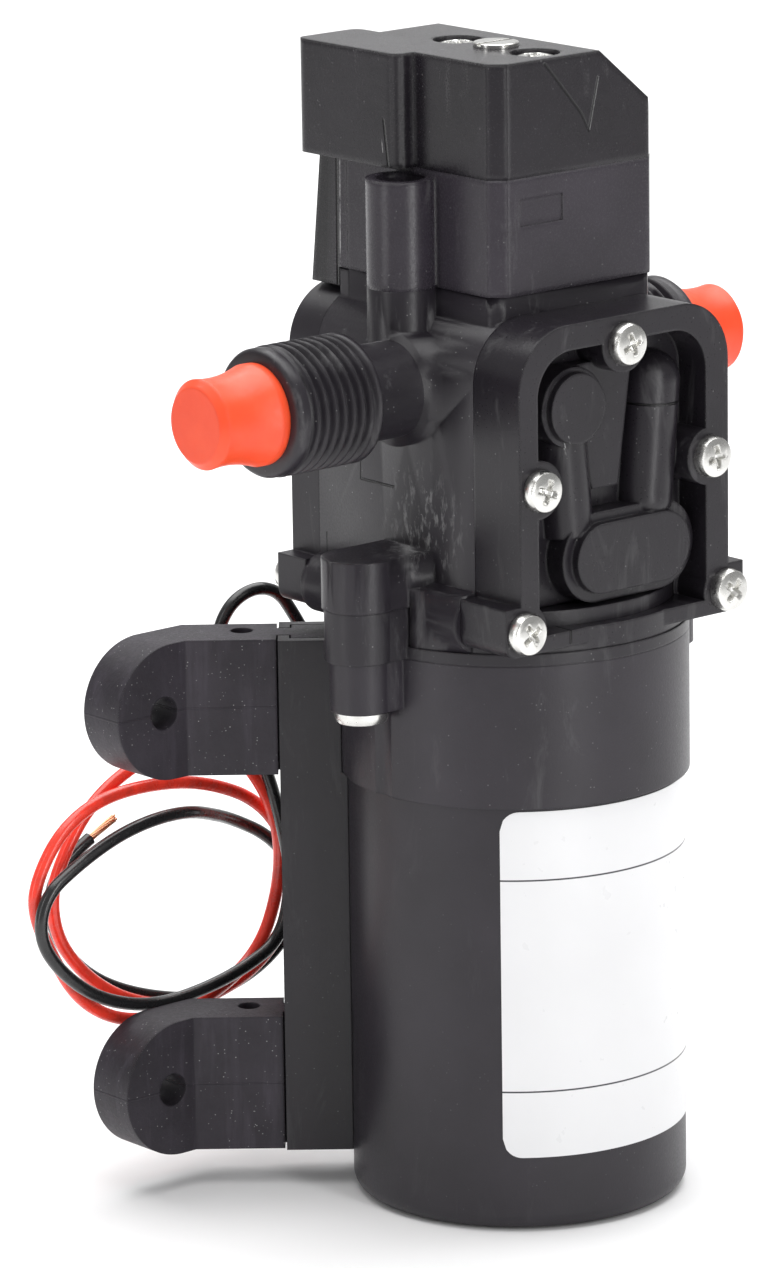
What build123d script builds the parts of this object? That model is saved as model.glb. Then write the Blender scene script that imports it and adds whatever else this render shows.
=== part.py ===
"""Small twelve volt diaphragm pump with a pressure switch, built piece by piece.

Millimetres. +Z runs up the motor shaft, the front valve cover faces -Y, the two
ports point along -X and +X, and the origin is on the shaft axis at the motor's
flat bottom end.
"""
from build123d import *
import math
import os

os.makedirs("parts", exist_ok=True)

# Clearances
slip = 0.1  # between fixed pieces that push together
run_gap = 0.05  # radial gap of a shaft, ring or plunger that turns or slides
thread_gap = 0.05  # radial gap round a screw's shank in its pilot hole
pass_gap = 0.3  # radial gap round a screw's shank where it passes through
press_gap = 0.1  # between the switch's plunger and the button it lifts
pilot_extra = 0.5  # how far a pilot hole runs past its screw's tip

# Motor
can_r = 27.5
can_wall = 1.5
can_h = 91.0
can_edge_r = 2.5
shaft_r = 2.5
shaft_bottom = 3.0
core_r = 20.0
core_bottom = 22.0
core_h = can_h - 51.0
pole_count = 5
slot_mouth = 2.6
slot_r = 4.6
slot_centre_r = 12.2
winding_overhang = 6.5
magnet_t = 4.8
magnet_bottom = 17.0
magnet_h = core_h + 10.0
magnet_angle = 118.0
bearing_r = 8.0
bearing_h = 5.0
bearing_floor = 1.0
bearing_wall = 2.0
bearing_lip = 1.5
groove_share = 0.22  # half the race groove's width, as a share of the ring's
groove_depth = 0.4
shaft_edge = 0.4
commutator_r = 6.5
commutator_h = 12.0
segment_gap = 0.6
segment_depth = 1.2
brush_w = 4.5
brush_len = 9.0
brush_wall = 1.6
brush_guide_len = 11.0
brush_guide_gap = 2.0
carrier_gap = 1.0
end_plate_t = 2.0

# Label on the can
label_bottom = 12.5
label_gap = 0.6
label_t = 0.15
label_start_angle = -137.0
label_end_angle = -14.0

# Collar, drive housing and the long screws that hold the pump together
collar_r = 28.4
collar_bottom = can_h - 20.0
collar_top = can_h + 3.5
collar_opening_r = 14.0
flange_t = 2.0
spigot_r = 26.0
spigot_wall = 4.0
pilot_r = 11.0
boss_x = 32.8
collar_boss_r = 5.0
collar_boss_bottom = collar_top - 8.3
drive_boss_r = 5.75
drive_boss_top = collar_top + flange_t + 6.5
head_boss_r = 6.1
head_boss_top = drive_boss_top + 8.3
long_screw_r = 1.9
long_screw_len = 22.0
long_head_r = 4.4
long_head_h = 2.4
relief_r = 4.9
motor_screw_y = 17.0
motor_screw_r = 1.5
motor_screw_len = 7.0
motor_head_r = 2.8
head_round = 0.6  # a pan head's rounding, as a share of its height
boss_web_inset = 0.4
drive_bearing_sink = 0.5

# Pump head
head_half_w = 22.3
head_top = drive_boss_top + 46.6
head_corner_r = 10.0
head_floor_t = 3.0
front_seam = -16.0
rear_seam = 22.2
skirt_r = spigot_r + slip + 2.1
neck_half_w = 17.3
neck_top = head_top + 3.3
neck_bottom = head_top - 9.6
corner_cut = 2.4
pump_z = drive_boss_top + 19.5
chamber_r = 13.2
clamp_r = 15.2
clamp_depth = 4.8
crank_opening_r = 12.0
port_z = pump_z + 14.9
port_neck_r = 7.8
port_root_r = 9.4
port_root_x = 25.4
port_sink = 2.0
thread_r = 10.48
inlet_thread_x = 36.0
inlet_end_x = 53.0
outlet_runout_x = 23.0
outlet_thread_x = 26.4
runout_r = 10.2
outlet_end_x = 33.0
port_chamfer = 0.8
port_bore_r = 7.9
port_bore_depth = 9.5
passage_r = 4.2
gallery_x = 17.0
gallery_r = 2.4
seal_r = 3.9
seal_t = 1.2
sense_z = port_z + 3.6
sense_r = 1.5
column_x = 20.5
column_y = 3.0
column_r = 5.6
column_bottom = head_top - 13.1
column_top = neck_top + 17.5

# Valve covers
cover_depth = 11.0
rear_cover_depth = 7.0
plate_bottom = drive_boss_top - 5.3
tab_half_w = 3.8
tab_h = 8.0
tab_corner_r = 2.2
band_top = drive_boss_top - 2.7
pocket_left = -18.45
pocket_right = 17.5
pocket_top = head_top - 4.1
pocket_corner_r = 7.0
pocket_foot_r = 9.0
front_pocket = 6.5
rear_pocket = 3.2
rear_rib_w = 2.0
rear_rib_sink = 1.0
valve_recess = 2.0
rear_valve_pocket = 1.1
front_valve_pocket = 1.6
upper_screw_z = head_top - 4.6
side_screw = (18.2, pump_z + 1.5)
tab_screw = (21.7, plate_bottom + tab_half_w)
cover_boss_r = 4.7
tab_boss_r = 5.0
tab_boss_len = 9.8
cover_screw_r = 1.5
cover_thread_len = 4.5
pan_r = 3.5
pan_h = 2.2

# Raised ways on the front cover, over the valves behind it
stadium_centre = (2.8, pump_z - 12.0)
stadium_base = (28.0, 14.6, 4.0)
stadium_face = (24.2, 11.4, 5.5)
pipe_top = (10.8, pump_z + 14.4)
pipe_foot = (9.0, pump_z - 4.5)
pipe_r = 4.8
pipe_sink = 0.6
way_boss = (-9.0, pump_z + 13.1)
way_foot = (-7.0, pump_z - 8.0)
way_boss_r = 6.5
way_boss_step = 0.8
way_boss_h = 5.6
way_r = 4.5
way_h = 4.2
web_top = (-8.0, 5.0, pump_z + 19.5)
web_foot = (-3.5, 1.9, pump_z - 1.2)
web_h = 2.6

# Valves and diaphragms
valve_x = 7.0
valve_r = 4.2
valve_t = 0.7
valve_stem_r = 1.2
valve_bulb_r = 1.6
valve_bulb_t = 0.8
valve_hole_r = 0.9
valve_hole_ring = 2.8
valve_hole_count = 5
valve_pocket_r = 5.5
chamber_recess_r = 12.5
membrane_t = 1.2
fold_r = 1.3
piston_disc_r = 8.0
piston_disc_t = 1.0
piston_screw_r = 1.25
piston_screw_len = 4.4
piston_head_r = 2.6
piston_head_h = 0.9

# Eccentric and yoke
throw = 1.0
eccentric_r = 4.2
eccentric_hub_r = 6.0
eccentric_hub_h = 7.0
shaft_end = 1.5
race_r = 6.5
race_h = 6.0
race_room = 0.2
yoke_wall = 1.5
yoke_h = 12.0

# Pressure switch
housing_front = -16.5
housing_rear = 22.3
housing_half_w = 17.4
housing_top = neck_top + 18.7
housing_floor = neck_top + 5.1
switch_wall = 2.2
switch_x = -4.0
switch_y = -1.5
tower_r = 6.4
tower_top = neck_top + 16.1
cup_r = 5.2
cup_wall = 1.0
cup_floor = neck_top + 5.6
cup_top = neck_top + 21.8
switch_membrane_r = 9.0
arm_t = 1.5
arm_w = 5.2
cover_top_z = housing_top + 18.4
slope_start_x = 4.5
slope_end = (16.0, cover_top_z - 9.6)
slope_foot_z = cover_top_z - 11.1
side_block_left = -21.0
side_block_right = -8.0
side_block_front = 3.2
side_block_rear = 27.9
side_block_edge_r = 2.0
cap_screw_dy = 9.3
cap_screw_r = 1.45
cap_screw_len = 24.0
cap_pocket_r = 4.0
cap_pocket_depth = 2.4
cap_post_r = 3.1
cap_boss_r = 4.8
cap_boss_h = 4.6
housing_screw_r = 1.9
housing_screw_len = 13.0
housing_seat_z = neck_top + 4.1
column_bore_r = 3.9
adjuster_r = 3.0
adjuster_tip = cover_top_z - 11.0
adjuster_head_r = 3.65
adjuster_head_h = 1.7
adjuster_slot = (0.9, 0.9)
adjuster_edge = 0.4
spring_wire_r = 0.5
spring_r = 3.3
spring_turns = 5
gusset_half_w = 17.3
gusset_top_y = 26.6
gusset_bottom_y = 29.1
gusset_bottom = head_top + 0.2
mark_centre = (-8.0, housing_top - 5.55)
mark_size = (9.0, 4.3, 0.3)
micro_w = 6.4
micro_len = 19.8
micro_h = 10.2
micro_peg_r = 1.1
micro_peg_span = 9.5
micro_peg_len = 5.4
button_w = 2.2
button_len = 3.0
button_h = 3.2
button_y = 9.5
switch_travel = 0.8
blade_w = 3.2
blade_t = 0.5
blade_len = 1.8
blade_pitch = 5.0
blade_drop = 2.0

# Bracket and feet
leg_angle = 139.5
bracket_bottom = 6.0
bracket_top = collar_top - 1.8
saddle_top = collar_bottom - 0.5
saddle_t = 2.2
channel_wall = 1.8
channel_start = 27.0
channel_end = 38.5
channel_front = 2.0
channel_rear = -11.0
channel_floor = 28.5
lip_len = 3.8
foot_h = 22.7
foot_gap = 0.3
foot_front = 1.0
foot_rear = -10.0
ear_front_y = 34.0
ear_rear_y = 43.0
ear_bend_x = 41.3
ear_rear_bend_x = 34.95
ear_end_x = 55.55
foot_hole_x = 46.0
foot_hole_r = 2.75
peg_hole_r = 1.85
peg_hole = (44.5, -5.5)
bracket_screw_r = 1.5
bracket_screw_len = 5.5
bracket_screw_zs = (22.0, 58.0)

# Plugs and leads
plug_seat_r = 8.15
plug_seat_t = 1.5
plug_waist_r = 7.0
plug_waist_x = 7.5
plug_end_r = 7.2
plug_edge = 1.2
plug_len = 12.5
plug_stem_len = 8.0
plug_gap = 0.15
lead_r = 1.1
grommet_r = 4.2
grommet_neck_r = 3.2
grommet_t = 1.6
grommet_flange_t = 1.3
grommet_angle = 106.0
grommet_z = collar_top - 10.5
lead_pitch = 3.4
lead_straight = 6.5
strip_len = 6.0
strand_r = 0.7

# Places that follow from the sizes above
can_bore_r = can_r - can_wall
core_top = core_bottom + core_h
label_top = collar_bottom - label_gap
end_plate_bottom = can_h - end_plate_t
carrier_bottom = end_plate_bottom - brush_wall
hub_bottom = carrier_bottom + 2 * slip
front_bearing_z = hub_bottom + bearing_floor
commutator_top = carrier_bottom - carrier_gap
commutator_bottom = commutator_top - commutator_h
brush_z = (commutator_top + commutator_bottom) / 2
drive_z = collar_top + flange_t
drive_bearing_z = drive_z - drive_bearing_sink
head_floor = drive_boss_top
body_depth = rear_seam - front_seam
body_mid_y = (rear_seam + front_seam) / 2
front_end = front_seam - cover_depth
rear_end = rear_seam + rear_cover_depth
front_clamp = front_seam + clamp_depth
rear_clamp = rear_seam - clamp_depth
front_chamber = front_clamp - membrane_t
rear_chamber = rear_clamp + membrane_t
plate_recess = clamp_depth - membrane_t
notch_x = tab_screw[0] - tab_boss_r - slip
yoke_hole_r = race_r + 2 * throw + race_room
yoke_half = yoke_hole_r + yoke_wall
eccentric_bottom = pump_z - race_h / 2
eccentric_top = eccentric_bottom + race_h
membrane_top = neck_top + membrane_t
housing_mid_y = (housing_front + housing_rear) / 2
housing_depth = housing_rear - housing_front
cavity_top = cover_top_z - switch_wall
micro_x = side_block_left + switch_wall + slip + micro_w / 2
micro_top = cavity_top - slip
micro_bottom = micro_top - micro_h
micro_y = side_block_rear - switch_wall - slip - micro_len / 2
button_bottom = cup_top + arm_t + press_gap
cap_screw_z = cover_top_z - cap_pocket_depth
foot_start = channel_end + foot_gap
saddle_r = can_r + slip / 2

cover_holes = [(0, upper_screw_z)]
for side in (-1, 1):
    cover_holes.append((side * side_screw[0], side_screw[1]))
    cover_holes.append((side * tab_screw[0], tab_screw[1]))
tab_holes = [(-tab_screw[0], tab_screw[1]), (tab_screw[0], tab_screw[1])]
gallery_holes = [(-gallery_x, port_z), (gallery_x, port_z)]
column_places = [(-column_x, column_y), (column_x, column_y)]
cap_screw_places = [(switch_x, switch_y - cap_screw_dy), (switch_x, switch_y + cap_screw_dy)]
seams = ((front_seam, 1), (rear_seam, -1))
ports = ((-1, inlet_thread_x, inlet_end_x), (1, outlet_thread_x, outlet_end_x))

up = (Align.CENTER, Align.CENTER, Align.MIN)
down = (Align.CENTER, Align.CENTER, Align.MAX)


def level(z):
    """The horizontal plane at height z."""
    return Plane.XY.offset(z)


def facing(y):
    """The upright plane at y: local x is X, local y is Z, and its normal is -Y."""
    return Plane.XZ.offset(-y)


def sideways(x):
    """The upright plane at x: local x is Y, local y is Z, and its normal is +X."""
    return Plane.YZ.offset(x)


def keep(piece, name):
    """Label a finished piece and write it out under its own name."""
    piece.label = name
    export_step(piece, "parts/" + name + ".step")


def ball_bearing(bottom, inner, outer, height):
    """A shielded ball bearing as one ring, with its race groove on both faces."""
    middle = (inner + outer) / 2
    half_groove = groove_share * (outer - inner)
    with BuildPart() as ring:
        with BuildSketch(level(bottom)):
            Circle(outer)
            Circle(inner, mode=Mode.SUBTRACT)
        extrude(amount=height)
        with BuildSketch(level(bottom), level(bottom + height - groove_depth)):
            Circle(middle + half_groove)
            Circle(middle - half_groove, mode=Mode.SUBTRACT)
        extrude(amount=groove_depth, mode=Mode.SUBTRACT)
    return ring.part


def screw(head_radius, head_height, shank_radius, length):
    """A pan head screw: its seat at the origin, the head above, the shank along -Z."""
    with BuildPart() as made:
        Cylinder(head_radius, head_height, align=up)
        fillet(made.edges().sort_by(Axis.Z)[-1], head_round * head_height)
        Cylinder(shank_radius, length, align=down)
    return made.part


# Motor can: a drawn steel tube, closed below, with a raised seat for the bearing
with BuildPart() as motor_can:
    Cylinder(can_r, can_h, align=up)
    fillet(motor_can.edges().sort_by(Axis.Z)[0], can_edge_r)
    with BuildSketch(level(can_wall)):
        Circle(can_bore_r)
    extrude(amount=can_h, mode=Mode.SUBTRACT)
    with BuildSketch(level(can_wall)):
        Circle(bearing_r + bearing_wall)
    extrude(amount=bearing_floor + bearing_h)
    with BuildSketch(level(can_wall + bearing_floor)):
        Circle(bearing_r + run_gap)
    extrude(amount=bearing_h, mode=Mode.SUBTRACT)
    with Locations(*[Location((0, can_r, z), (90, 0, 0)) for z in bracket_screw_zs]):
        Cylinder(bracket_screw_r + thread_gap, 3 * can_wall, mode=Mode.SUBTRACT)
    with Locations(Location((0, 0, grommet_z), (0, 0, grommet_angle))):
        with Locations(Location((can_r, 0, 0), (0, 90, 0))):
            Cylinder(grommet_neck_r + slip, 4 * can_wall, mode=Mode.SUBTRACT)
keep(motor_can.part, "motor_can")

# Two arc magnets inside the can, centred on the ports' direction
with BuildPart() as motor_magnets:
    for middle in (0, 180):
        with BuildSketch(level(magnet_bottom)):
            with BuildLine():
                start = middle - magnet_angle / 2
                outer_arc = CenterArc((0, 0), can_bore_r, start, magnet_angle)
                inner_arc = CenterArc((0, 0), can_bore_r - magnet_t, start, magnet_angle)
                Line(outer_arc @ 0, inner_arc @ 0)
                Line(outer_arc @ 1, inner_arc @ 1)
            make_face()
        extrude(amount=magnet_h)
keep(motor_magnets.part, "motor_magnets")

# Ball bearings in the can's bottom, in the end plate and in the drive housing
shaft_hole_r = shaft_r + run_gap
keep(ball_bearing(can_wall + bearing_floor, shaft_hole_r, bearing_r, bearing_h), "rear_bearing")
keep(ball_bearing(front_bearing_z, shaft_hole_r, bearing_r, bearing_h), "front_bearing")
keep(ball_bearing(drive_bearing_z, shaft_hole_r, bearing_r, bearing_h), "drive_bearing")

# End plate that closes the can's mouth, with the bearing's hub
with BuildPart() as motor_end_plate:
    with BuildSketch(level(end_plate_bottom)):
        Circle(can_bore_r - slip)
    extrude(amount=end_plate_t)
    with BuildSketch(level(hub_bottom)):
        Circle(bearing_r + bearing_wall)
    extrude(amount=bearing_floor + bearing_h)
    with BuildSketch(level(front_bearing_z)):
        Circle(bearing_r + run_gap)
    extrude(amount=bearing_h, mode=Mode.SUBTRACT)
    with BuildSketch(level(hub_bottom)):
        Circle(bearing_r / 2)
    extrude(amount=bearing_h, mode=Mode.SUBTRACT)
    with BuildSketch(level(end_plate_bottom)):
        with GridLocations(1, 2 * motor_screw_y, 1, 2):
            Circle(motor_screw_r + thread_gap)
    extrude(amount=end_plate_t, mode=Mode.SUBTRACT)
keep(motor_end_plate.part, "motor_end_plate")

# Armature: laminated core with slots, copper windings through them, commutator
with BuildPart() as rotor_core:
    with BuildSketch(level(core_bottom)):
        Circle(core_r)
        Circle(shaft_r, mode=Mode.SUBTRACT)
        with PolarLocations(slot_centre_r, pole_count):
            Circle(slot_r, mode=Mode.SUBTRACT)
        with PolarLocations(core_r, pole_count):
            Rectangle(2 * (core_r - slot_centre_r), slot_mouth, mode=Mode.SUBTRACT)
    extrude(amount=core_h)
keep(rotor_core.part, "rotor_core")

with BuildPart() as rotor_windings:
    with BuildSketch(level(core_bottom - winding_overhang)):
        with PolarLocations(slot_centre_r, pole_count):
            Circle(slot_r - slip)
    extrude(amount=core_h + 2 * winding_overhang)
    with BuildSketch(level(core_bottom - winding_overhang), level(core_top + slip)):
        Circle(slot_centre_r + slot_r - 2 * slip)
        Circle(slot_centre_r - slot_r + 2 * slip, mode=Mode.SUBTRACT)
    extrude(amount=winding_overhang - slip)
keep(rotor_windings.part, "rotor_windings")

with BuildPart() as commutator:
    with BuildSketch(level(commutator_bottom)):
        Circle(commutator_r)
        Circle(shaft_r, mode=Mode.SUBTRACT)
        with PolarLocations(commutator_r, pole_count):
            Rectangle(segment_depth, segment_gap, mode=Mode.SUBTRACT)
    extrude(amount=commutator_h)
keep(commutator.part, "commutator")

# Brush carrier under the end plate: a guide each side, and the two brushes in them
guide_h = carrier_bottom - brush_z + brush_w / 2 + brush_wall
guide_x = commutator_r + brush_guide_gap + brush_guide_len / 2
with BuildPart() as brush_holder:
    with BuildSketch(level(carrier_bottom)):
        Circle(can_bore_r - slip)
        Circle(bearing_r + bearing_wall + carrier_gap, mode=Mode.SUBTRACT)
    extrude(amount=brush_wall)
    with Locations((-guide_x, 0, carrier_bottom), (guide_x, 0, carrier_bottom)):
        Box(brush_guide_len, brush_w + 2 * brush_wall, guide_h, align=down)
    with Locations((-guide_x, 0, brush_z), (guide_x, 0, brush_z)):
        slot_w = brush_w + 2 * run_gap
        Box(brush_guide_len + carrier_gap, slot_w, slot_w, mode=Mode.SUBTRACT)
keep(brush_holder.part, "brush_holder")

brush_x = commutator_r + run_gap + brush_len / 2
with BuildPart() as brushes:
    with Locations((-brush_x, 0, brush_z), (brush_x, 0, brush_z)):
        Box(brush_len, brush_w, brush_w)
keep(brushes.part, "brushes")

# Shaft, and the eccentric with its bearing that swings the yoke
with BuildPart() as rotor_shaft:
    with BuildSketch(level(shaft_bottom)):
        Circle(shaft_r)
    extrude(amount=eccentric_top + shaft_end - shaft_bottom)
    chamfer(rotor_shaft.edges().sort_by(Axis.Z)[-1], shaft_edge)
keep(rotor_shaft.part, "rotor_shaft")

with BuildPart() as eccentric:
    with BuildSketch(level(eccentric_bottom - eccentric_hub_h)):
        Circle(eccentric_hub_r)
    extrude(amount=eccentric_hub_h)
    with BuildSketch(level(eccentric_bottom)):
        with Locations((throw, 0)):
            Circle(eccentric_r)
    extrude(amount=race_h)
    with BuildSketch(level(eccentric_bottom - eccentric_hub_h)):
        Circle(shaft_r)
    extrude(amount=eccentric_hub_h + race_h, mode=Mode.SUBTRACT)
keep(eccentric.part, "eccentric")

race = ball_bearing(eccentric_bottom, eccentric_r, race_r, race_h)
with BuildPart() as eccentric_bearing:
    with Locations((throw, 0, 0)):
        add(race)
keep(eccentric_bearing.part, "eccentric_bearing")

# Collar: the plastic cap over the motor's mouth, with a boss for each long screw
with BuildPart() as motor_collar:
    with BuildSketch(level(collar_bottom)):
        Circle(collar_r)
    extrude(amount=collar_top - collar_bottom)
    with BuildSketch(level(collar_boss_bottom)):
        with GridLocations(2 * boss_x, 1, 2, 1):
            Circle(collar_boss_r)
        Rectangle(2 * boss_x, 2 * collar_boss_r - boss_web_inset)
    extrude(amount=collar_top - collar_boss_bottom)
    with BuildSketch(level(collar_bottom)):
        Circle(can_r + slip)
    extrude(amount=can_h - collar_bottom, mode=Mode.SUBTRACT)
    with BuildSketch(level(can_h)):
        Circle(collar_opening_r)
        with GridLocations(1, 2 * motor_screw_y, 1, 2):
            Circle(motor_screw_r + pass_gap)
    extrude(amount=collar_top - can_h, mode=Mode.SUBTRACT)
    with BuildSketch(level(collar_boss_bottom)):
        with GridLocations(2 * boss_x, 1, 2, 1):
            Circle(long_screw_r + pass_gap)
    extrude(amount=collar_top - collar_boss_bottom, mode=Mode.SUBTRACT)
    with BuildSketch(level(collar_bottom)):
        with GridLocations(2 * boss_x, 1, 2, 1):
            Circle(relief_r)
    extrude(amount=collar_boss_bottom - collar_bottom, mode=Mode.SUBTRACT)
    with Locations(Location((0, 0, grommet_z), (0, 0, grommet_angle))):
        with Locations(Location((collar_r, 0, 0), (0, 90, 0))):
            Cylinder(grommet_neck_r + slip, 4 * can_wall, mode=Mode.SUBTRACT)
keep(motor_collar.part, "motor_collar")

# Drive housing: the flange between motor and head, with the upper shaft bearing
spigot_h = head_floor - drive_z - 2 * slip
notch_y = drive_boss_r + pass_gap
with BuildPart() as drive_housing:
    with BuildSketch(level(drive_z)):
        Circle(spigot_r)
        Circle(spigot_r - spigot_wall, mode=Mode.SUBTRACT)
        with GridLocations(2 * notch_x + spigot_r, 2 * notch_y + spigot_r, 2, 2):
            Rectangle(spigot_r, spigot_r, mode=Mode.SUBTRACT)
        Circle(pilot_r)
    extrude(amount=spigot_h)
    with BuildSketch(level(drive_z)):
        with GridLocations(2 * boss_x, 1, 2, 1):
            Circle(drive_boss_r)
        with GridLocations(2 * (boss_x - drive_boss_r), 1, 2, 1):
            Rectangle(2 * drive_boss_r, 2 * drive_boss_r - boss_web_inset)
    extrude(amount=head_floor - drive_z)
    with BuildSketch(level(collar_top)):
        Circle(collar_r)
        Rectangle(2 * boss_x, 2 * drive_boss_r - boss_web_inset)
        with GridLocations(2 * boss_x, 1, 2, 1):
            Circle(drive_boss_r)
    extrude(amount=flange_t)
    with BuildSketch(level(drive_bearing_z)):
        Circle(bearing_r + run_gap)
    extrude(amount=head_floor - drive_bearing_z, mode=Mode.SUBTRACT)
    with BuildSketch(level(collar_top)):
        Circle(bearing_r - bearing_lip)
        with GridLocations(2 * boss_x, 1, 2, 1):
            Circle(long_screw_r + pass_gap)
        with GridLocations(1, 2 * motor_screw_y, 1, 2):
            Circle(motor_screw_r + pass_gap)
    extrude(amount=head_floor - collar_top, mode=Mode.SUBTRACT)
keep(drive_housing.part, "drive_housing")

motor_screw = screw(motor_head_r, pan_h, motor_screw_r, motor_screw_len)
with BuildPart() as motor_screws:
    with Locations((0, -motor_screw_y, drive_z), (0, motor_screw_y, drive_z)):
        add(motor_screw)
keep(motor_screws.part, "motor_screws")

long_screw = screw(long_head_r, long_head_h, long_screw_r, long_screw_len)
with BuildPart() as long_screws:
    with Locations(*[Location((x, 0, collar_boss_bottom), (180, 0, 0)) for x in (-boss_x, boss_x)]):
        add(long_screw)
keep(long_screws.part, "long_screws")

# Pump head: the moulded body with the bore, the two ports and the switch's neck
with BuildPart() as pump_head:
    with BuildSketch(facing(front_seam)):
        with Locations((0, (head_floor + head_top) / 2)):
            block = Rectangle(2 * head_half_w, head_top - head_floor)
        fillet(block.vertices().group_by(Axis.Y)[-1], head_corner_r)
    extrude(amount=-body_depth)
    with BuildSketch(level(neck_bottom)):
        with Locations((0, body_mid_y)):
            neck = Rectangle(2 * neck_half_w, body_depth)
        chamfer(neck.vertices(), corner_cut)
    extrude(amount=neck_top - neck_bottom)
    with BuildSketch(level(head_floor)):
        Circle(skirt_r)
        with Locations((0, body_mid_y)):
            Rectangle(2 * skirt_r, body_depth, mode=Mode.INTERSECT)
    extrude(amount=head_floor_t)
    with BuildSketch(level(drive_z)):
        Circle(skirt_r)
        Circle(spigot_r + slip, mode=Mode.SUBTRACT)
        with Locations((0, body_mid_y)):
            Rectangle(2 * skirt_r, body_depth, mode=Mode.INTERSECT)
        Rectangle(2 * skirt_r, 2 * notch_y, mode=Mode.SUBTRACT)
    extrude(amount=head_floor - drive_z)
    with BuildSketch(level(head_floor)):
        with GridLocations(2 * boss_x, 1, 2, 1):
            Circle(head_boss_r)
        Rectangle(2 * boss_x, 2 * head_boss_r - boss_web_inset)
    extrude(amount=head_boss_top - head_floor)
    for seam, outward in seams:
        with BuildSketch(facing(seam)):
            with Locations(*tab_holes):
                Circle(tab_boss_r)
        extrude(amount=-outward * tab_boss_len)
    with BuildSketch(level(column_bottom)):
        with Locations(*column_places):
            Circle(column_r)
    extrude(amount=neck_top - column_bottom)
    root_start = head_half_w - port_sink
    with BuildSketch(sideways(-root_start)):
        with Locations((0, port_z)):
            Circle(port_root_r)
    extrude(amount=root_start - port_root_x)
    for side, thread_x, end_x in ports:
        with BuildSketch(sideways(side * root_start)):
            with Locations((0, port_z)):
                Circle(port_neck_r)
        extrude(amount=side * (thread_x - root_start))
        with BuildSketch(sideways(side * thread_x)):
            with Locations((0, port_z)):
                Circle(thread_r)
        extrude(amount=side * (end_x - thread_x))
        circles = pump_head.edges().filter_by(GeomType.CIRCLE)
        rims = circles.filter_by(lambda edge: abs(edge.radius - thread_r) < slip).sort_by(Axis.X)
        chamfer(rims[0] if side < 0 else rims[-1], port_chamfer)
    with BuildSketch(sideways(outlet_runout_x)):
        with Locations((0, port_z)):
            Circle(runout_r)
    extrude(amount=outlet_thread_x - outlet_runout_x)
    for side, thread_x, end_x in ports:
        with BuildSketch(sideways(side * end_x)):
            with Locations((0, port_z)):
                Circle(port_bore_r)
        extrude(amount=-side * port_bore_depth, mode=Mode.SUBTRACT)
        with BuildSketch(sideways(side * end_x)):
            with Locations((0, port_z)):
                Circle(passage_r)
        extrude(amount=-side * (end_x - gallery_x), mode=Mode.SUBTRACT)
    with BuildSketch(facing(front_seam)):
        with Locations(*gallery_holes):
            Circle(gallery_r)
        with Locations((0, pump_z)):
            Circle(chamber_r)
    extrude(amount=-body_depth, mode=Mode.SUBTRACT)
    for seam, outward in seams:
        with BuildSketch(facing(seam)):
            with Locations((0, pump_z)):
                Circle(clamp_r)
        extrude(amount=-outward * clamp_depth, mode=Mode.SUBTRACT)
        with BuildSketch(facing(seam)):
            with Locations(*gallery_holes):
                Circle(seal_r + slip)
        extrude(amount=-outward * seal_t, mode=Mode.SUBTRACT)
        with BuildSketch(facing(seam)):
            with Locations(*cover_holes):
                Circle(cover_screw_r + thread_gap)
        extrude(amount=-outward * (cover_thread_len + 2 * pilot_extra), mode=Mode.SUBTRACT)
    with BuildSketch(level(head_floor)):
        Circle(crank_opening_r)
    extrude(amount=pump_z - head_floor, mode=Mode.SUBTRACT)
    with BuildSketch(level(head_floor)):
        with GridLocations(2 * boss_x, 1, 2, 1):
            Circle(long_screw_r + thread_gap)
    extrude(amount=collar_boss_bottom + long_screw_len + pilot_extra - head_floor, mode=Mode.SUBTRACT)
    housing_screw_tip = housing_seat_z - housing_screw_len - pilot_extra
    with BuildSketch(level(housing_screw_tip)):
        with Locations(*column_places):
            Circle(housing_screw_r + thread_gap)
    extrude(amount=neck_top - housing_screw_tip, mode=Mode.SUBTRACT)
    with BuildSketch(level(sense_z)):
        with Locations((switch_x, switch_y)):
            Circle(sense_r)
    extrude(amount=neck_top - sense_z, mode=Mode.SUBTRACT)
    with BuildSketch(sideways(switch_x)):
        with Locations((switch_y, sense_z)):
            Circle(sense_r)
    extrude(amount=gallery_x + gallery_r - switch_x, mode=Mode.SUBTRACT)
keep(pump_head.part, "pump_head")

with BuildPart() as port_seals:
    for seam, outward in seams:
        with BuildSketch(facing(seam)):
            with Locations(*gallery_holes):
                Circle(seal_r)
                Circle(gallery_r, mode=Mode.SUBTRACT)
        extrude(amount=-outward * seal_t)
keep(port_seals.part, "port_seals")

# Yoke: the frame round the eccentric's bearing that pushes both diaphragms
yoke_len = rear_clamp - front_clamp
with BuildPart() as piston_yoke:
    with BuildSketch(level(pump_z - yoke_h / 2)):
        Circle(yoke_half)
    extrude(amount=yoke_h)
    with BuildSketch(facing(front_clamp)):
        with Locations((0, pump_z)):
            Circle(yoke_h / 2)
    extrude(amount=-yoke_len)
    with BuildSketch(level(pump_z - yoke_h / 2)):
        Circle(yoke_hole_r)
    extrude(amount=yoke_h, mode=Mode.SUBTRACT)
    with BuildSketch(facing(front_clamp)):
        with Locations((0, pump_z)):
            Circle(piston_screw_r + thread_gap)
    extrude(amount=-yoke_len, mode=Mode.SUBTRACT)
keep(piston_yoke.part, "piston_yoke")

with BuildPart() as piston_discs:
    for chamber_y, outward in ((front_chamber, 1), (rear_chamber, -1)):
        with BuildSketch(facing(chamber_y)):
            with Locations((0, pump_z)):
                Circle(piston_disc_r)
                Circle(piston_screw_r + thread_gap, mode=Mode.SUBTRACT)
        extrude(amount=outward * piston_disc_t)
keep(piston_discs.part, "piston_discs")

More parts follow.
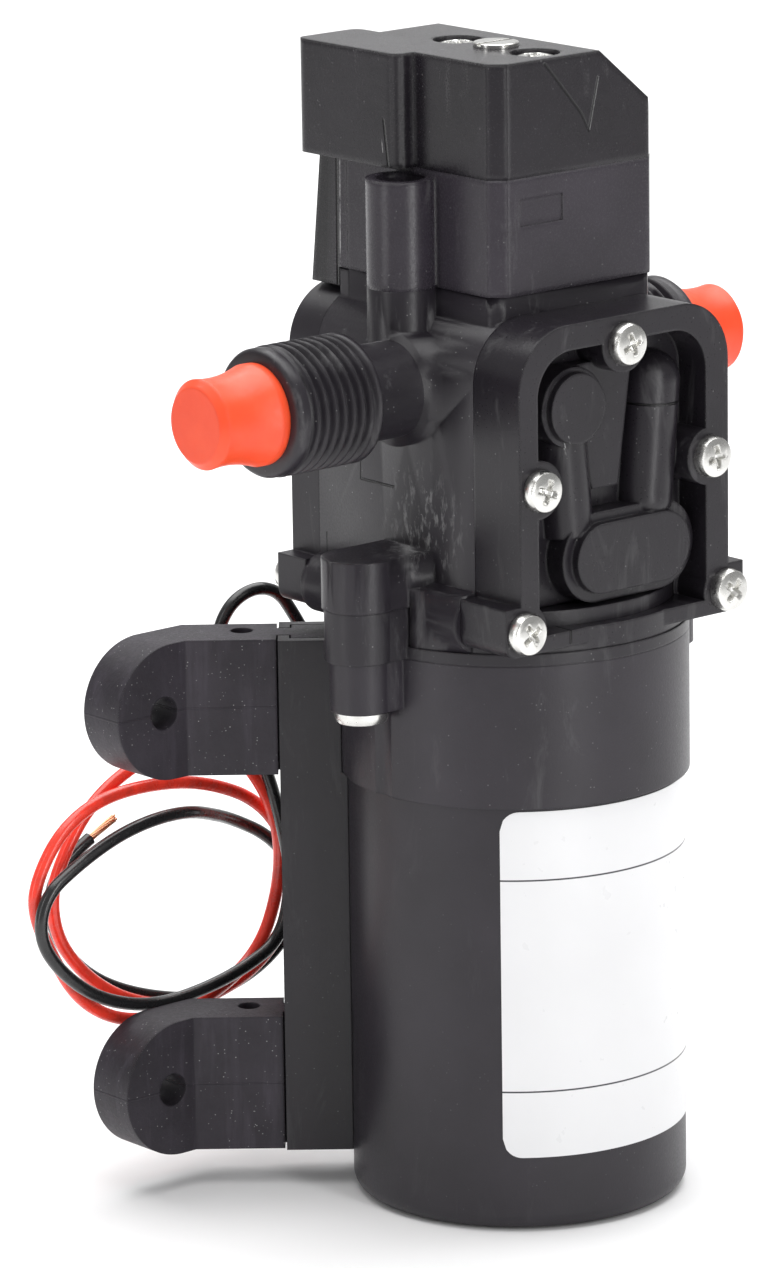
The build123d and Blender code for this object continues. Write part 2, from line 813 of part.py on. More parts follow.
piston_screw = screw(piston_head_r, piston_head_h, piston_screw_r, piston_screw_len)
front_disc = Location((0, front_chamber - piston_disc_t, pump_z), (90, 0, 0))
rear_disc = Location((0, rear_chamber + piston_disc_t, pump_z), (-90, 0, 0))
with BuildPart() as piston_screws:
    with Locations(front_disc, rear_disc):
        add(piston_screw)
keep(piston_screws.part, "piston_screws")


def diaphragm(seat_y, outward):
    """A rubber disc clamped at its rim, with a rolled fold round the piston disc."""
    fold_at = (piston_disc_r + chamber_recess_r) / 2
    spin = Axis((0, 0, pump_z), (0, 1, 0))
    with BuildPart() as made:
        with BuildSketch(facing(seat_y)):
            with Locations((0, pump_z)):
                Circle(clamp_r - slip)
                Circle(piston_screw_r + thread_gap, mode=Mode.SUBTRACT)
        extrude(amount=outward * membrane_t)
        with BuildSketch(level(pump_z)):
            with Locations((fold_at, seat_y - outward * membrane_t)):
                Circle(fold_r)
        revolve(axis=spin)
        with BuildSketch(level(pump_z)):
            with Locations((fold_at, seat_y)):
                Circle(fold_r / 2)
        revolve(axis=spin, mode=Mode.SUBTRACT)
        with BuildSketch(facing(seat_y)):
            with Locations((0, pump_z)):
                Circle(clamp_r)
        extrude(amount=-outward * 2 * fold_r, mode=Mode.SUBTRACT)
    return made.part


keep(diaphragm(front_clamp, 1), "front_diaphragm")
keep(diaphragm(rear_clamp, -1), "rear_diaphragm")


def valve_plate(chamber_y, outward):
    """The plate behind a cover: the chamber's recess, and holes under both valves."""
    with BuildPart() as made:
        with BuildSketch(facing(chamber_y)):
            with Locations((0, pump_z)):
                Circle(clamp_r - slip)
        extrude(amount=outward * (plate_recess + valve_recess))
        with BuildSketch(facing(chamber_y)):
            with Locations((0, pump_z)):
                Circle(chamber_recess_r)
        extrude(amount=outward * plate_recess, mode=Mode.SUBTRACT)
        with BuildSketch(facing(chamber_y)):
            for place in (-valve_x, valve_x):
                with Locations((place, pump_z)):
                    Circle(valve_stem_r + run_gap)
                    with PolarLocations(valve_hole_ring, valve_hole_count):
                        Circle(valve_hole_r)
        extrude(amount=outward * (plate_recess + valve_recess), mode=Mode.SUBTRACT)
    return made.part


keep(valve_plate(front_chamber, 1), "front_valve_plate")
keep(valve_plate(rear_chamber, -1), "rear_valve_plate")

# Umbrella valves: the inlet pair opens into the chambers, the outlet pair out of them
with BuildPart() as umbrella:
    Cylinder(valve_r, valve_t, align=up)
    Cylinder(valve_stem_r, valve_recess, align=down)
    with Locations((0, 0, -valve_recess)):
        Cylinder(valve_bulb_r, valve_bulb_t, align=down)

with BuildPart() as inlet_valves:
    with Locations(
        Location((-valve_x, front_seam, pump_z), (-90, 0, 0)),
        Location((-valve_x, rear_seam, pump_z), (90, 0, 0)),
    ):
        add(umbrella.part)
keep(inlet_valves.part, "inlet_valves")

with BuildPart() as outlet_valves:
    with Locations(
        Location((valve_x, front_seam - valve_recess, pump_z), (90, 0, 0)),
        Location((valve_x, rear_seam + valve_recess, pump_z), (-90, 0, 0)),
    ):
        add(umbrella.part)
keep(outlet_valves.part, "outlet_valves")


def cover_blank(seam, outward, depth):
    """A cover's outer form: the plate with its two tabs, and the band over the flange."""
    with BuildPart() as made:
        with BuildSketch(facing(seam)):
            with Locations((0, (plate_bottom + head_top) / 2)):
                plate = Rectangle(2 * head_half_w, head_top - plate_bottom)
            fillet(plate.vertices().group_by(Axis.Y)[-1], head_corner_r)
            with Locations(*[(x, plate_bottom + tab_h / 2) for x, z in tab_holes]):
                Rectangle(2 * tab_half_w, tab_h)
        extrude(amount=outward * depth)
        fillet(made.edges().filter_by(Axis.Y).group_by(Axis.Z)[0], tab_corner_r)
        with BuildSketch(level(drive_z)):
            Circle(skirt_r)
            with Locations((0, seam - outward * skirt_r)):
                Rectangle(2 * skirt_r, 2 * skirt_r, mode=Mode.INTERSECT)
        extrude(amount=band_top - drive_z)
        with BuildSketch(level(drive_z)):
            Circle(spigot_r + slip)
            Rectangle(2 * notch_x, 2 * skirt_r, mode=Mode.INTERSECT)
        extrude(amount=head_floor - drive_z, mode=Mode.SUBTRACT)
    return made.part


def cover_recesses(seam, outward, valve_pocket, depth):
    """What is cut into a cover's inner face: the plate's seat, the pockets, the ways."""
    with BuildPart() as made:
        with BuildSketch(facing(seam)):
            with Locations((0, pump_z)):
                Circle(clamp_r)
        extrude(amount=outward * valve_recess)
        with BuildSketch(facing(seam)):
            with Locations((-valve_x, pump_z), (valve_x, pump_z)):
                Circle(valve_pocket_r)
            with Locations(*gallery_holes):
                Circle(gallery_r)
            for side in (-1, 1):
                with BuildLine():
                    Line((side * gallery_x, port_z), (side * valve_x, pump_z))
                trace(line_width=2 * gallery_r)
        extrude(amount=outward * (valve_recess + valve_pocket))
        with BuildSketch(facing(seam)):
            with Locations(*cover_holes):
                Circle(cover_screw_r + pass_gap)
        extrude(amount=outward * depth)
    return made.part


def cover_pocket(end, outward, depth):
    """The open pocket in a cover's outer face, which leaves the rim and the screw bosses."""
    with BuildPart() as made:
        with BuildSketch(facing(end)):
            with Locations(((pocket_left + pocket_right) / 2, (band_top + pocket_top) / 2)):
                pocket = Rectangle(pocket_right - pocket_left, pocket_top - band_top)
            fillet(pocket.vertices().group_by(Axis.Y)[-1], pocket_corner_r)
            fillet(pocket.vertices().group_by(Axis.Y)[0], pocket_foot_r)
            with Locations(*cover_holes):
                Circle(cover_boss_r, mode=Mode.SUBTRACT)
        extrude(amount=-outward * depth)
    return made.part


# Front cover: its pocket shows the raised ways of the water over the valves
pocket_floor = front_end + front_pocket
front_blank = cover_blank(front_seam, 1, cover_depth)
front_opening = cover_pocket(front_end, 1, front_pocket)
front_recesses = cover_recesses(front_seam, 1, front_valve_pocket, cover_depth)
pipe_y = pocket_floor - pipe_sink
with BuildPart() as front_cover:
    add(front_blank)
    add(front_opening, mode=Mode.SUBTRACT)
    for length, width, height in (stadium_base, stadium_face):
        with BuildSketch(facing(pocket_floor)):
            with Locations(stadium_centre):
                SlotOverall(length, width)
        extrude(amount=height)
    for radius, height in ((way_boss_r, way_h), (way_boss_r - way_boss_step, way_boss_h)):
        with BuildSketch(facing(pocket_floor)):
            with Locations(way_boss):
                Circle(radius)
        extrude(amount=height)
    with BuildSketch(facing(pocket_floor)):
        with BuildLine():
            Polyline(
                (web_top[0], web_top[2]),
                (web_top[1], web_top[2]),
                (web_foot[1], web_foot[2]),
                (web_foot[0], web_foot[2]),
                close=True,
            )
        make_face()
    extrude(amount=web_h)
    with BuildLine():
        way_line = Line((way_foot[0], pocket_floor, way_foot[1]), (way_boss[0], pocket_floor, way_boss[1]))
    with BuildSketch(Plane(way_line @ 0, z_dir=way_line % 0)):
        Circle(way_r)
    sweep()
    with BuildLine():
        pipe_line = Line((pipe_foot[0], pipe_y, pipe_foot[1]), (pipe_top[0], pipe_y, pipe_top[1]))
    with BuildSketch(Plane(pipe_line @ 0, z_dir=pipe_line % 0)):
        Circle(pipe_r)
    sweep()
    with Locations(pipe_line @ 0, pipe_line @ 1):
        Sphere(pipe_r)
    add(front_recesses, mode=Mode.SUBTRACT)
keep(front_cover.part, "front_cover")

# Rear cover: thinner, its pocket with one ring and one cross rib
rear_blank = cover_blank(rear_seam, -1, rear_cover_depth)
rear_opening = cover_pocket(rear_end, -1, rear_pocket)
rear_recesses = cover_recesses(rear_seam, -1, rear_valve_pocket, rear_cover_depth)
with BuildPart() as rear_cover:
    add(rear_blank)
    add(rear_opening, mode=Mode.SUBTRACT)
    with BuildSketch(facing(rear_end - rear_pocket)):
        with Locations((0, pump_z)):
            Circle(clamp_r)
            Circle(clamp_r - rear_rib_w, mode=Mode.SUBTRACT)
            Rectangle(2 * clamp_r, rear_rib_w)
    extrude(amount=rear_rib_sink - rear_pocket)
    add(rear_recesses, mode=Mode.SUBTRACT)
keep(rear_cover.part, "rear_cover")

front_screw = screw(pan_r, pan_h, cover_screw_r, cover_depth + cover_thread_len)
with BuildPart() as front_cover_screws:
    with Locations(*[Location((x, front_end, z), (90, 0, 0)) for x, z in cover_holes]):
        add(front_screw)
keep(front_cover_screws.part, "front_cover_screws")

rear_screw = screw(pan_r, pan_h, cover_screw_r, rear_cover_depth + cover_thread_len)
with BuildPart() as rear_cover_screws:
    with Locations(*[Location((x, rear_end, z), (-90, 0, 0)) for x, z in cover_holes]):
        add(rear_screw)
keep(rear_cover_screws.part, "rear_cover_screws")

# Switch housing: the lower box, its screw columns, the spring's tower and the posts
cap_screw_tip = cap_screw_z - cap_screw_len - pilot_extra
with BuildPart() as switch_housing:
    with BuildSketch(level(neck_top)):
        with Locations((0, housing_mid_y)):
            box = Rectangle(2 * housing_half_w, housing_depth)
        chamfer(box.vertices(), corner_cut)
    extrude(amount=housing_top - neck_top)
    with BuildSketch(level(neck_top)):
        with Locations(*column_places):
            Circle(column_r)
    extrude(amount=column_top - neck_top)
    with BuildSketch(sideways(-gusset_half_w)):
        with BuildLine():
            Polyline(
                (housing_rear - switch_wall, housing_top),
                (gusset_top_y, housing_top),
                (gusset_bottom_y, gusset_bottom),
                (housing_rear, gusset_bottom),
                (housing_rear, neck_top),
                (housing_rear - switch_wall, neck_top),
                close=True,
            )
        make_face()
    extrude(amount=2 * gusset_half_w)
    with BuildSketch(level(housing_floor)):
        with Locations((0, housing_mid_y)):
            Rectangle(2 * (housing_half_w - switch_wall), housing_depth - 2 * switch_wall)
    extrude(amount=housing_top - housing_floor, mode=Mode.SUBTRACT)
    with BuildSketch(level(housing_floor)):
        with Locations((switch_x, switch_y)):
            Circle(tower_r)
    extrude(amount=tower_top - housing_floor)
    with BuildSketch(level(housing_floor)):
        with Locations(*cap_screw_places):
            Circle(cap_post_r)
    extrude(amount=housing_top - housing_floor)
    with BuildSketch(level(cap_screw_tip)):
        with Locations(*cap_screw_places):
            Circle(cap_screw_r + thread_gap)
    extrude(amount=housing_top - cap_screw_tip, mode=Mode.SUBTRACT)
    with BuildSketch(level(neck_top)):
        with Locations((switch_x, switch_y)):
            Circle(cup_r + run_gap)
    extrude(amount=tower_top - neck_top, mode=Mode.SUBTRACT)
    with BuildSketch(level(neck_top)):
        with Locations((switch_x, switch_y)):
            Circle(switch_membrane_r + slip)
    extrude(amount=membrane_t, mode=Mode.SUBTRACT)
    with BuildSketch(level(neck_top)):
        with Locations(*column_places):
            Circle(housing_screw_r + pass_gap)
    extrude(amount=column_top - neck_top, mode=Mode.SUBTRACT)
    with BuildSketch(level(housing_seat_z)):
        with Locations(*column_places):
            Circle(column_bore_r)
    extrude(amount=column_top - housing_seat_z, mode=Mode.SUBTRACT)
    with BuildSketch(facing(housing_front)):
        with Locations(mark_centre):
            Rectangle(mark_size[0], mark_size[1])
    extrude(amount=-mark_size[2], mode=Mode.SUBTRACT)
keep(switch_housing.part, "switch_housing")

housing_screw = screw(pan_r, pan_h, housing_screw_r, housing_screw_len)
with BuildPart() as housing_screws:
    with Locations(*[(x, y, housing_seat_z) for x, y in column_places]):
        add(housing_screw)
keep(housing_screws.part, "housing_screws")

with BuildPart() as switch_diaphragm:
    with BuildSketch(level(neck_top)):
        with Locations((switch_x, switch_y)):
            Circle(switch_membrane_r)
    extrude(amount=membrane_t)
keep(switch_diaphragm.part, "switch_diaphragm")

# Plunger: the cup that carries the spring, with the arm that lifts the button
arm_middle = ((switch_x + micro_x) / 2, (switch_y + button_y) / 2)
with BuildPart() as switch_plunger:
    with BuildSketch(level(membrane_top)):
        with Locations((switch_x, switch_y)):
            Circle(cup_r)
    extrude(amount=cup_top + arm_t - membrane_top)
    with BuildSketch(level(cup_top)):
        SlotCenterPoint(arm_middle, (micro_x, button_y), arm_w)
    extrude(amount=arm_t)
    with BuildSketch(level(cup_floor)):
        with Locations((switch_x, switch_y)):
            Circle(cup_r - cup_wall)
    extrude(amount=cup_top + arm_t - cup_floor, mode=Mode.SUBTRACT)
keep(switch_plunger.part, "switch_plunger")

# Spring between the cup's floor and the adjusting screw's tip
coil_h = adjuster_tip - cup_floor - 2 * spring_wire_r
with BuildPart() as pressure_spring:
    with BuildLine():
        coil = Helix(
            pitch=coil_h / spring_turns,
            height=coil_h,
            radius=spring_r,
            center=(switch_x, switch_y, cup_floor + spring_wire_r),
        )
    with BuildSketch(Plane(coil @ 0, z_dir=coil % 0)):
        RegularPolygon(spring_wire_r, 6)
    sweep(is_frenet=True)
keep(pressure_spring.part, "pressure_spring")

with BuildPart() as adjusting_screw:
    with BuildSketch(level(adjuster_tip)):
        with Locations((switch_x, switch_y)):
            Circle(adjuster_r)
    extrude(amount=cover_top_z - adjuster_tip)
    with BuildSketch(level(cover_top_z)):
        with Locations((switch_x, switch_y)):
            Circle(adjuster_head_r)
    extrude(amount=adjuster_head_h)
    fillet(adjusting_screw.edges().sort_by(Axis.Z)[-1], adjuster_edge)
    with Locations((switch_x, switch_y, cover_top_z + adjuster_head_h)):
        Box(2 * adjuster_head_r, adjuster_slot[0], 2 * adjuster_slot[1], mode=Mode.SUBTRACT)
keep(adjusting_screw.part, "adjusting_screw")

# Switch cover: the sloped cap with the proud block at the back for the microswitch
block_x = (side_block_left + side_block_right) / 2
block_y = (side_block_front + side_block_rear) / 2
block_w = side_block_right - side_block_left
block_len = side_block_rear - side_block_front
with BuildPart() as switch_cover:
    with BuildSketch(level(housing_top)):
        with Locations((0, housing_mid_y)):
            outline = Rectangle(2 * neck_half_w, housing_depth)
        chamfer(outline.vertices(), corner_cut)
    extrude(amount=cover_top_z - housing_top)
    with BuildSketch(facing(housing_front)):
        with BuildLine():
            Polyline(
                (-neck_half_w, housing_top),
                (neck_half_w, housing_top),
                (neck_half_w, slope_foot_z),
                slope_end,
                (slope_start_x, cover_top_z),
                (-neck_half_w, cover_top_z),
                close=True,
            )
        make_face()
    extrude(amount=-housing_depth, mode=Mode.INTERSECT)
    with BuildSketch(level(housing_top)):
        with Locations((block_x, block_y)):
            side_block = Rectangle(block_w, block_len)
        fillet(side_block.vertices(), side_block_edge_r)
    extrude(amount=cover_top_z - housing_top)
    with BuildSketch(facing(housing_front + switch_wall)):
        with BuildLine():
            Polyline(
                (-neck_half_w + switch_wall, housing_top),
                (neck_half_w - switch_wall, housing_top),
                (neck_half_w - switch_wall, slope_foot_z - switch_wall / 3),
                (slope_start_x - switch_wall / 3, cavity_top),
                (-neck_half_w + switch_wall, cavity_top),
                close=True,
            )
        make_face()
    extrude(amount=2 * switch_wall - housing_depth, mode=Mode.SUBTRACT)
    with BuildSketch(level(housing_top + switch_wall)):
        with Locations((block_x, block_y)):
            Rectangle(block_w - 2 * switch_wall, block_len - 2 * switch_wall)
    extrude(amount=cavity_top - housing_top - switch_wall, mode=Mode.SUBTRACT)
    with BuildSketch(level(housing_top)):
        with Locations(*cap_screw_places):
            Circle(cap_post_r)
    extrude(amount=cavity_top - housing_top)
    with BuildSketch(level(cavity_top - cap_boss_h)):
        with Locations((switch_x, switch_y), *cap_screw_places):
            Circle(cap_boss_r)
    extrude(amount=cap_boss_h)
    with BuildSketch(level(housing_top)):
        with Locations(*cap_screw_places):
            Circle(cap_screw_r + pass_gap)
        with Locations((switch_x, switch_y)):
            Circle(adjuster_r + run_gap)
    extrude(amount=cover_top_z - housing_top, mode=Mode.SUBTRACT)
    with BuildSketch(level(cap_screw_z)):
        with Locations(*cap_screw_places):
            Circle(cap_pocket_r)
    extrude(amount=cap_pocket_depth, mode=Mode.SUBTRACT)
    with BuildSketch(sideways(side_block_left + switch_wall)):
        with Locations((micro_y, (micro_top + micro_bottom) / 2)):
            with GridLocations(micro_peg_span, 1, 2, 1):
                Circle(micro_peg_r)
    extrude(amount=micro_peg_len)
keep(switch_cover.part, "switch_cover")

cap_screw = screw(pan_r, pan_h, cap_screw_r, cap_screw_len)
with BuildPart() as cap_screws:
    with Locations(*[(x, y, cap_screw_z) for x, y in cap_screw_places]):
        add(cap_screw)
keep(cap_screws.part, "cap_screws")

# Microswitch: its case on two pegs of the cover, its three blades and its button
with BuildPart() as microswitch_case:
    with Locations((micro_x, micro_y, micro_bottom)):
        Box(micro_w, micro_len, micro_h, align=up)
    with BuildSketch(sideways(micro_x - micro_w / 2)):
        with Locations((micro_y, (micro_top + micro_bottom) / 2)):
            with GridLocations(micro_peg_span, 1, 2, 1):
                Circle(micro_peg_r + thread_gap)
    extrude(amount=micro_w, mode=Mode.SUBTRACT)
    with Locations((micro_x, button_y, micro_bottom)):
        Box(button_w + 2 * run_gap, button_len + 2 * run_gap, button_h, align=up, mode=Mode.SUBTRACT)
keep(microswitch_case.part, "microswitch_case")

button_top = micro_bottom + button_h - 1.5 * switch_travel
with BuildPart() as microswitch_button:
    with Locations((micro_x, button_y, button_bottom)):
        Box(button_w, button_len, button_top - button_bottom, align=up)
keep(microswitch_button.part, "microswitch_button")

with BuildPart() as microswitch_blades:
    with BuildSketch(sideways(micro_x + micro_w / 2)):
        with Locations((micro_y, micro_top - blade_drop)):
            with GridLocations(blade_pitch, 1, 3, 1):
                Rectangle(blade_w, blade_t)
    extrude(amount=blade_len)
keep(microswitch_blades.part, "microswitch_blades")

# Label: a thin bare wrap on the can's front
label_angle = label_end_angle - label_start_angle
with BuildPart() as rating_label:
    with BuildSketch(level(label_bottom)):
        with BuildLine():
            outside = CenterArc((0, 0), can_r + label_t, label_start_angle, label_angle)
            inside = CenterArc((0, 0), can_r, label_start_angle, label_angle)
            Line(outside @ 0, inside @ 0)
            Line(outside @ 1, inside @ 1)
        make_face()
    extrude(amount=label_top - label_bottom)
keep(rating_label.part, "rating_label")

# Mounting bracket: a saddle round the can's back with an open channel at each end
leg_turn = math.radians(leg_angle)
leg_plane = Plane(
    origin=(0, 0, bracket_bottom),
    x_dir=(math.cos(leg_turn), math.sin(leg_turn), 0),
    z_dir=(0, 0, 1),
)


def leg_point(u, d):
    """A place along the leg and square to it, in the frame's own x and y."""
    x = u * math.cos(leg_turn) - d * math.sin(leg_turn)
    y = u * math.sin(leg_turn) + d * math.cos(leg_turn)
    return (x, y)


def leg_bar(start_u, end_u, start_d, end_d):
    """A rectangle from corner to corner, along the leg and square to it."""
    with Locations(((start_u + end_u) / 2, (start_d + end_d) / 2)):
        Rectangle(end_u - start_u, end_d - start_d)


with BuildPart() as bracket_leg:
    with BuildSketch(leg_plane):
        leg_bar(channel_start, channel_end, channel_front - channel_wall, channel_front)
        leg_bar(channel_start, channel_end, channel_rear, channel_rear + channel_wall)
        leg_bar(channel_end - channel_wall, channel_end, channel_front - lip_len, channel_front)
        leg_bar(channel_end - channel_wall, channel_end, channel_rear, channel_rear + lip_len)
        leg_bar(channel_floor, channel_floor + channel_wall, channel_rear, channel_front)
    extrude(amount=bracket_top - bracket_bottom)

saddle_start = 180 - leg_angle
saddle_span = 2 * leg_angle - 180
with BuildPart() as mounting_bracket:
    add(bracket_leg.part)
    mirror(about=Plane.YZ)
    with BuildSketch(level(bracket_bottom)):
        with BuildLine():
            back = CenterArc((0, 0), saddle_r + saddle_t, saddle_start, saddle_span)
            face = CenterArc((0, 0), saddle_r - saddle_t, saddle_start, saddle_span)
            Line(back @ 0, face @ 0)
            Line(back @ 1, face @ 1)
        make_face()
    extrude(amount=saddle_top - bracket_bottom)
    with BuildSketch(level(bracket_bottom)):
        Circle(saddle_r)
    extrude(amount=bracket_top - bracket_bottom, mode=Mode.SUBTRACT)
    with BuildSketch(level(saddle_top)):
        Circle(collar_r + slip)
    extrude(amount=bracket_top - saddle_top, mode=Mode.SUBTRACT)
    with Locations(*[Location((0, saddle_r, z), (90, 0, 0)) for z in bracket_screw_zs]):
        Cylinder(bracket_screw_r + pass_gap, 4 * saddle_t, mode=Mode.SUBTRACT)
keep(mounting_bracket.part, "mounting_bracket")

bracket_screw = screw(pan_r, pan_h, bracket_screw_r, bracket_screw_len)
with BuildPart() as bracket_screws:
    with Locations(*[Location((0, saddle_r + saddle_t, z), (-90, 0, 0)) for z in bracket_screw_zs]):
        add(bracket_screw)
keep(bracket_screws.part, "bracket_screws")


def rubber_foot(bottom):
    """A left rubber foot: a tongue in the channel, and an ear with the fixing hole."""
    radius = foot_h / 2
    tongue_front = channel_front - channel_wall - foot_gap
    tongue_rear = channel_rear + channel_wall + foot_gap
    tongue_start = channel_floor + channel_wall + foot_gap
    tongue_end = channel_end - channel_wall - foot_gap
    neck_front = channel_front - lip_len - foot_gap
    neck_rear = channel_rear + lip_len + foot_gap
    base_plane = leg_plane.offset(bottom - bracket_bottom)
    with BuildPart() as made:
        with BuildSketch(level(bottom)):
            with BuildLine():
                Polyline(
                    leg_point(foot_start, foot_front),
                    (-ear_bend_x, ear_front_y),
                    (-ear_end_x, ear_front_y),
                    (-ear_end_x, ear_rear_y),
                    (-ear_rear_bend_x, ear_rear_y),
                    leg_point(foot_start, foot_rear),
                    close=True,
                )
            make_face()
        extrude(amount=foot_h)
        with BuildSketch(facing(ear_rear_y)):
            with Locations((-ear_end_x + radius, bottom + radius)):
                Circle(radius)
            with Locations(((radius - ear_end_x) / 2, bottom + radius)):
                Rectangle(ear_end_x - radius, foot_h)
        extrude(amount=ear_rear_y, mode=Mode.INTERSECT)
        with BuildSketch(base_plane):
            leg_bar(tongue_start, tongue_end, tongue_rear, tongue_front)
            leg_bar(tongue_end - channel_wall, foot_start + channel_wall, neck_rear, neck_front)
        extrude(amount=foot_h)
        with BuildSketch(facing(ear_rear_y)):
            with Locations((-foot_hole_x, bottom + radius)):
                Circle(foot_hole_r)
        extrude(amount=ear_rear_y - ear_front_y, mode=Mode.SUBTRACT)
        with BuildSketch(base_plane):
            with Locations(peg_hole):
                Circle(peg_hole_r)
        extrude(amount=foot_h, mode=Mode.SUBTRACT)
    return made.part


for height, bottom in (("lower", bracket_bottom), ("upper", bracket_top - foot_h)):
    left_foot = rubber_foot(bottom)
    keep(left_foot, "foot_" + height + "_left")
    keep(mirror(left_foot, about=Plane.YZ), "foot_" + height + "_right")

# Plugs: soft stoppers in both ports' bores, with a waist to pull them out by
plug_stem_r = port_bore_r - plug_gap


def port_plug(end_x):
    """A plug along +X, its flange against a port's face at end_x."""
    start = end_x + run_gap
    tip = start - plug_stem_len
    end = start + plug_len
    with BuildPart() as made:
        with BuildSketch(Plane.XZ):
            with BuildLine():
                Polyline(
                    (tip, port_z),
                    (tip, port_z + plug_stem_r - plug_edge),
                    (tip + plug_edge, port_z + plug_stem_r),
                    (start, port_z + plug_stem_r),
                    (start, port_z + plug_seat_r),
                    (start + plug_seat_t, port_z + plug_seat_r),
                )
                ThreePointArc(
                    (start + plug_seat_t, port_z + plug_seat_r),
                    (start + plug_waist_x, port_z + plug_waist_r),
                    (end - plug_edge, port_z + plug_end_r),
                )
                Polyline(
                    (end - plug_edge, port_z + plug_end_r),
                    (end, port_z + plug_end_r - plug_edge),
                    (end, port_z),
                    (tip, port_z),
                )
            make_face()
        revolve(axis=Axis((0, 0, port_z), (1, 0, 0)))
    return made.part


keep(port_plug(outlet_end_x), "outlet_plug")
keep(mirror(port_plug(inlet_end_x), about=Plane.YZ), "inlet_plug")

# Grommet in the collar's back, where the two leads come out
with BuildPart() as lead_grommet:
    with Locations(Location((0, 0, grommet_z), (0, 0, grommet_angle))):
        with Locations(Location((collar_r + grommet_t, 0, 0), (0, 90, 0))):
            Cylinder(grommet_r, grommet_flange_t, align=down)
            Cylinder(grommet_neck_r, grommet_t + collar_r - can_bore_r, align=down)
keep(lead_grommet.part, "lead_grommet")

# Leads: both leave the grommet side by side, rise over the foot and lie in loops
outward_way = Vector(1, 0, 0).rotate(Axis.Z, grommet_angle)
across_way = Vector(0, 1, 0).rotate(Axis.Z, grommet_angle)
exit_point = outward_way * (collar_r + grommet_t) + Vector(0, 0, grommet_z)
straight_end = exit_point + outward_way * lead_straight
red_side = across_way * (lead_pitch / 2)
red_route = [
    tuple(exit_point + red_side),
    tuple(straight_end + red_side),
    (-15.2, 39.2, 86.6), (-20.6, 39.6, 90.0), (-27.4, 39.6, 89.2), (-31.4, 43.0, 84.2),
    (-29.0, 46.6, 76.8), (-23.2, 46.7, 70.0), (-17.6, 46.7, 64.0),
    (-13.6, 46.7, 57.6), (-11.6, 46.7, 49.6), (-12.6, 47.0, 41.0), (-16.2, 47.0, 33.2),
    (-23.6, 47.0, 28.0), (-34.0, 47.0, 25.0), (-46.0, 47.0, 26.0), (-55.0, 47.0, 31.5),
    (-60.5, 47.0, 40.5), (-64.0, 47.0, 48.5), (-63.0, 47.0, 54.0), (-58.0, 47.0, 61.0),
    (-50.0, 47.0, 65.0), (-39.0, 47.5, 65.5), (-26.5, 48.4, 63.5), (-13.5, 49.4, 57.5),
    (-7.0, 49.5, 47.5), (-6.5, 49.5, 38.0), (-14.0, 49.5, 29.0), (-26.5, 49.5, 25.0),
    (-38.0, 49.5, 26.5), (-49.0, 49.5, 32.0), (-57.0, 49.5, 41.0), (-58.5, 49.5, 50.0),
    (-55.0, 49.5, 57.4), (-46.0, 49.5, 61.4), (-36.0, 49.5, 61.8),
]
black_route = [
    tuple(exit_point - red_side),
    tuple(straight_end - red_side),
    (-10.5, 40.3, 86.8), (-12.0, 42.2, 91.2), (-14.8, 42.3, 95.1), (-19.4, 42.4, 96.6),
    (-24.1, 42.8, 95.0), (-26.9, 43.2, 91.0), (-26.9, 43.8, 86.0), (-24.4, 44.2, 79.2),
    (-20.4, 44.3, 71.8), (-16.4, 44.3, 64.4),
    (-14.2, 44.3, 57.6), (-12.4, 44.3, 50.4), (-11.5, 44.3, 43.5), (-14.0, 44.3, 34.5),
    (-22.0, 44.3, 31.0), (-31.5, 44.3, 29.0), (-42.0, 44.3, 28.5), (-53.0, 44.3, 32.0),
    (-61.0, 44.3, 38.5), (-65.0, 44.3, 45.0), (-63.5, 44.3, 51.6), (-57.0, 44.3, 55.5),
    (-48.5, 44.3, 59.0), (-40.5, 44.3, 60.5), (-32.5, 45.5, 60.0), (-25.0, 49.0, 57.5),
    (-17.5, 52.0, 54.5), (-9.5, 52.0, 50.0), (-3.5, 52.0, 42.5), (-4.5, 52.0, 33.5),
    (-13.0, 52.0, 27.0), (-25.5, 52.0, 24.5), (-38.5, 52.0, 28.0), (-48.5, 52.0, 33.0),
    (-55.0, 52.0, 40.0), (-57.2, 52.0, 48.0), (-54.0, 52.0, 54.0), (-48.0, 52.0, 57.0),
]


def bend_radii(points):
    """The largest radius at each corner that its two runs leave room for."""
    radii = []
    for before, corner, after in zip(points, points[1:], points[2:]):
        run_in = Vector(*corner) - Vector(*before)
        run_out = Vector(*after) - Vector(*corner)
        half_turn = math.radians(run_in.get_angle(run_out) / 2)
        radii.append(0.45 * min(run_in.length, run_out.length) / math.tan(half_turn))
    return radii


def lead(route, name):
    """A lead along its route and the bare strands at its end, with its sizes printed."""
    radii = bend_radii(route)
    with BuildPart() as made:
        with BuildLine() as path:
            FilletPolyline(*route, radius=radii)
        with BuildSketch(Plane(path.line @ 0, z_dir=path.line % 0)):
            Circle(lead_r)
        sweep()
    with BuildPart() as strands:
        with BuildSketch(Plane(path.line @ 1, z_dir=path.line % 1)):
            Circle(strand_r)
        extrude(amount=strip_len)
    length = sum(edge.length for edge in path.edges())
    print(name, "length", round(length, 1), "least radius", round(min(radii), 1))
    print(name, "volume", round(made.part.volume, 1), "of", round(math.pi * lead_r**2 * length, 1))
    print(name, "radii", [round(r, 1) for r in radii])
    keep(made.part, name)
    keep(strands.part, name + "_end")


lead(red_route, "red_lead")
lead(black_route, "black_lead")
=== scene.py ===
"""Looks of a small diaphragm pump: camera, leads, detailed pieces and materials.

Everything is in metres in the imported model's frame. Sizes in millimetres are
turned into metres by mm().
"""

import bmesh
import bpy
import math
from mathutils import Matrix, Vector


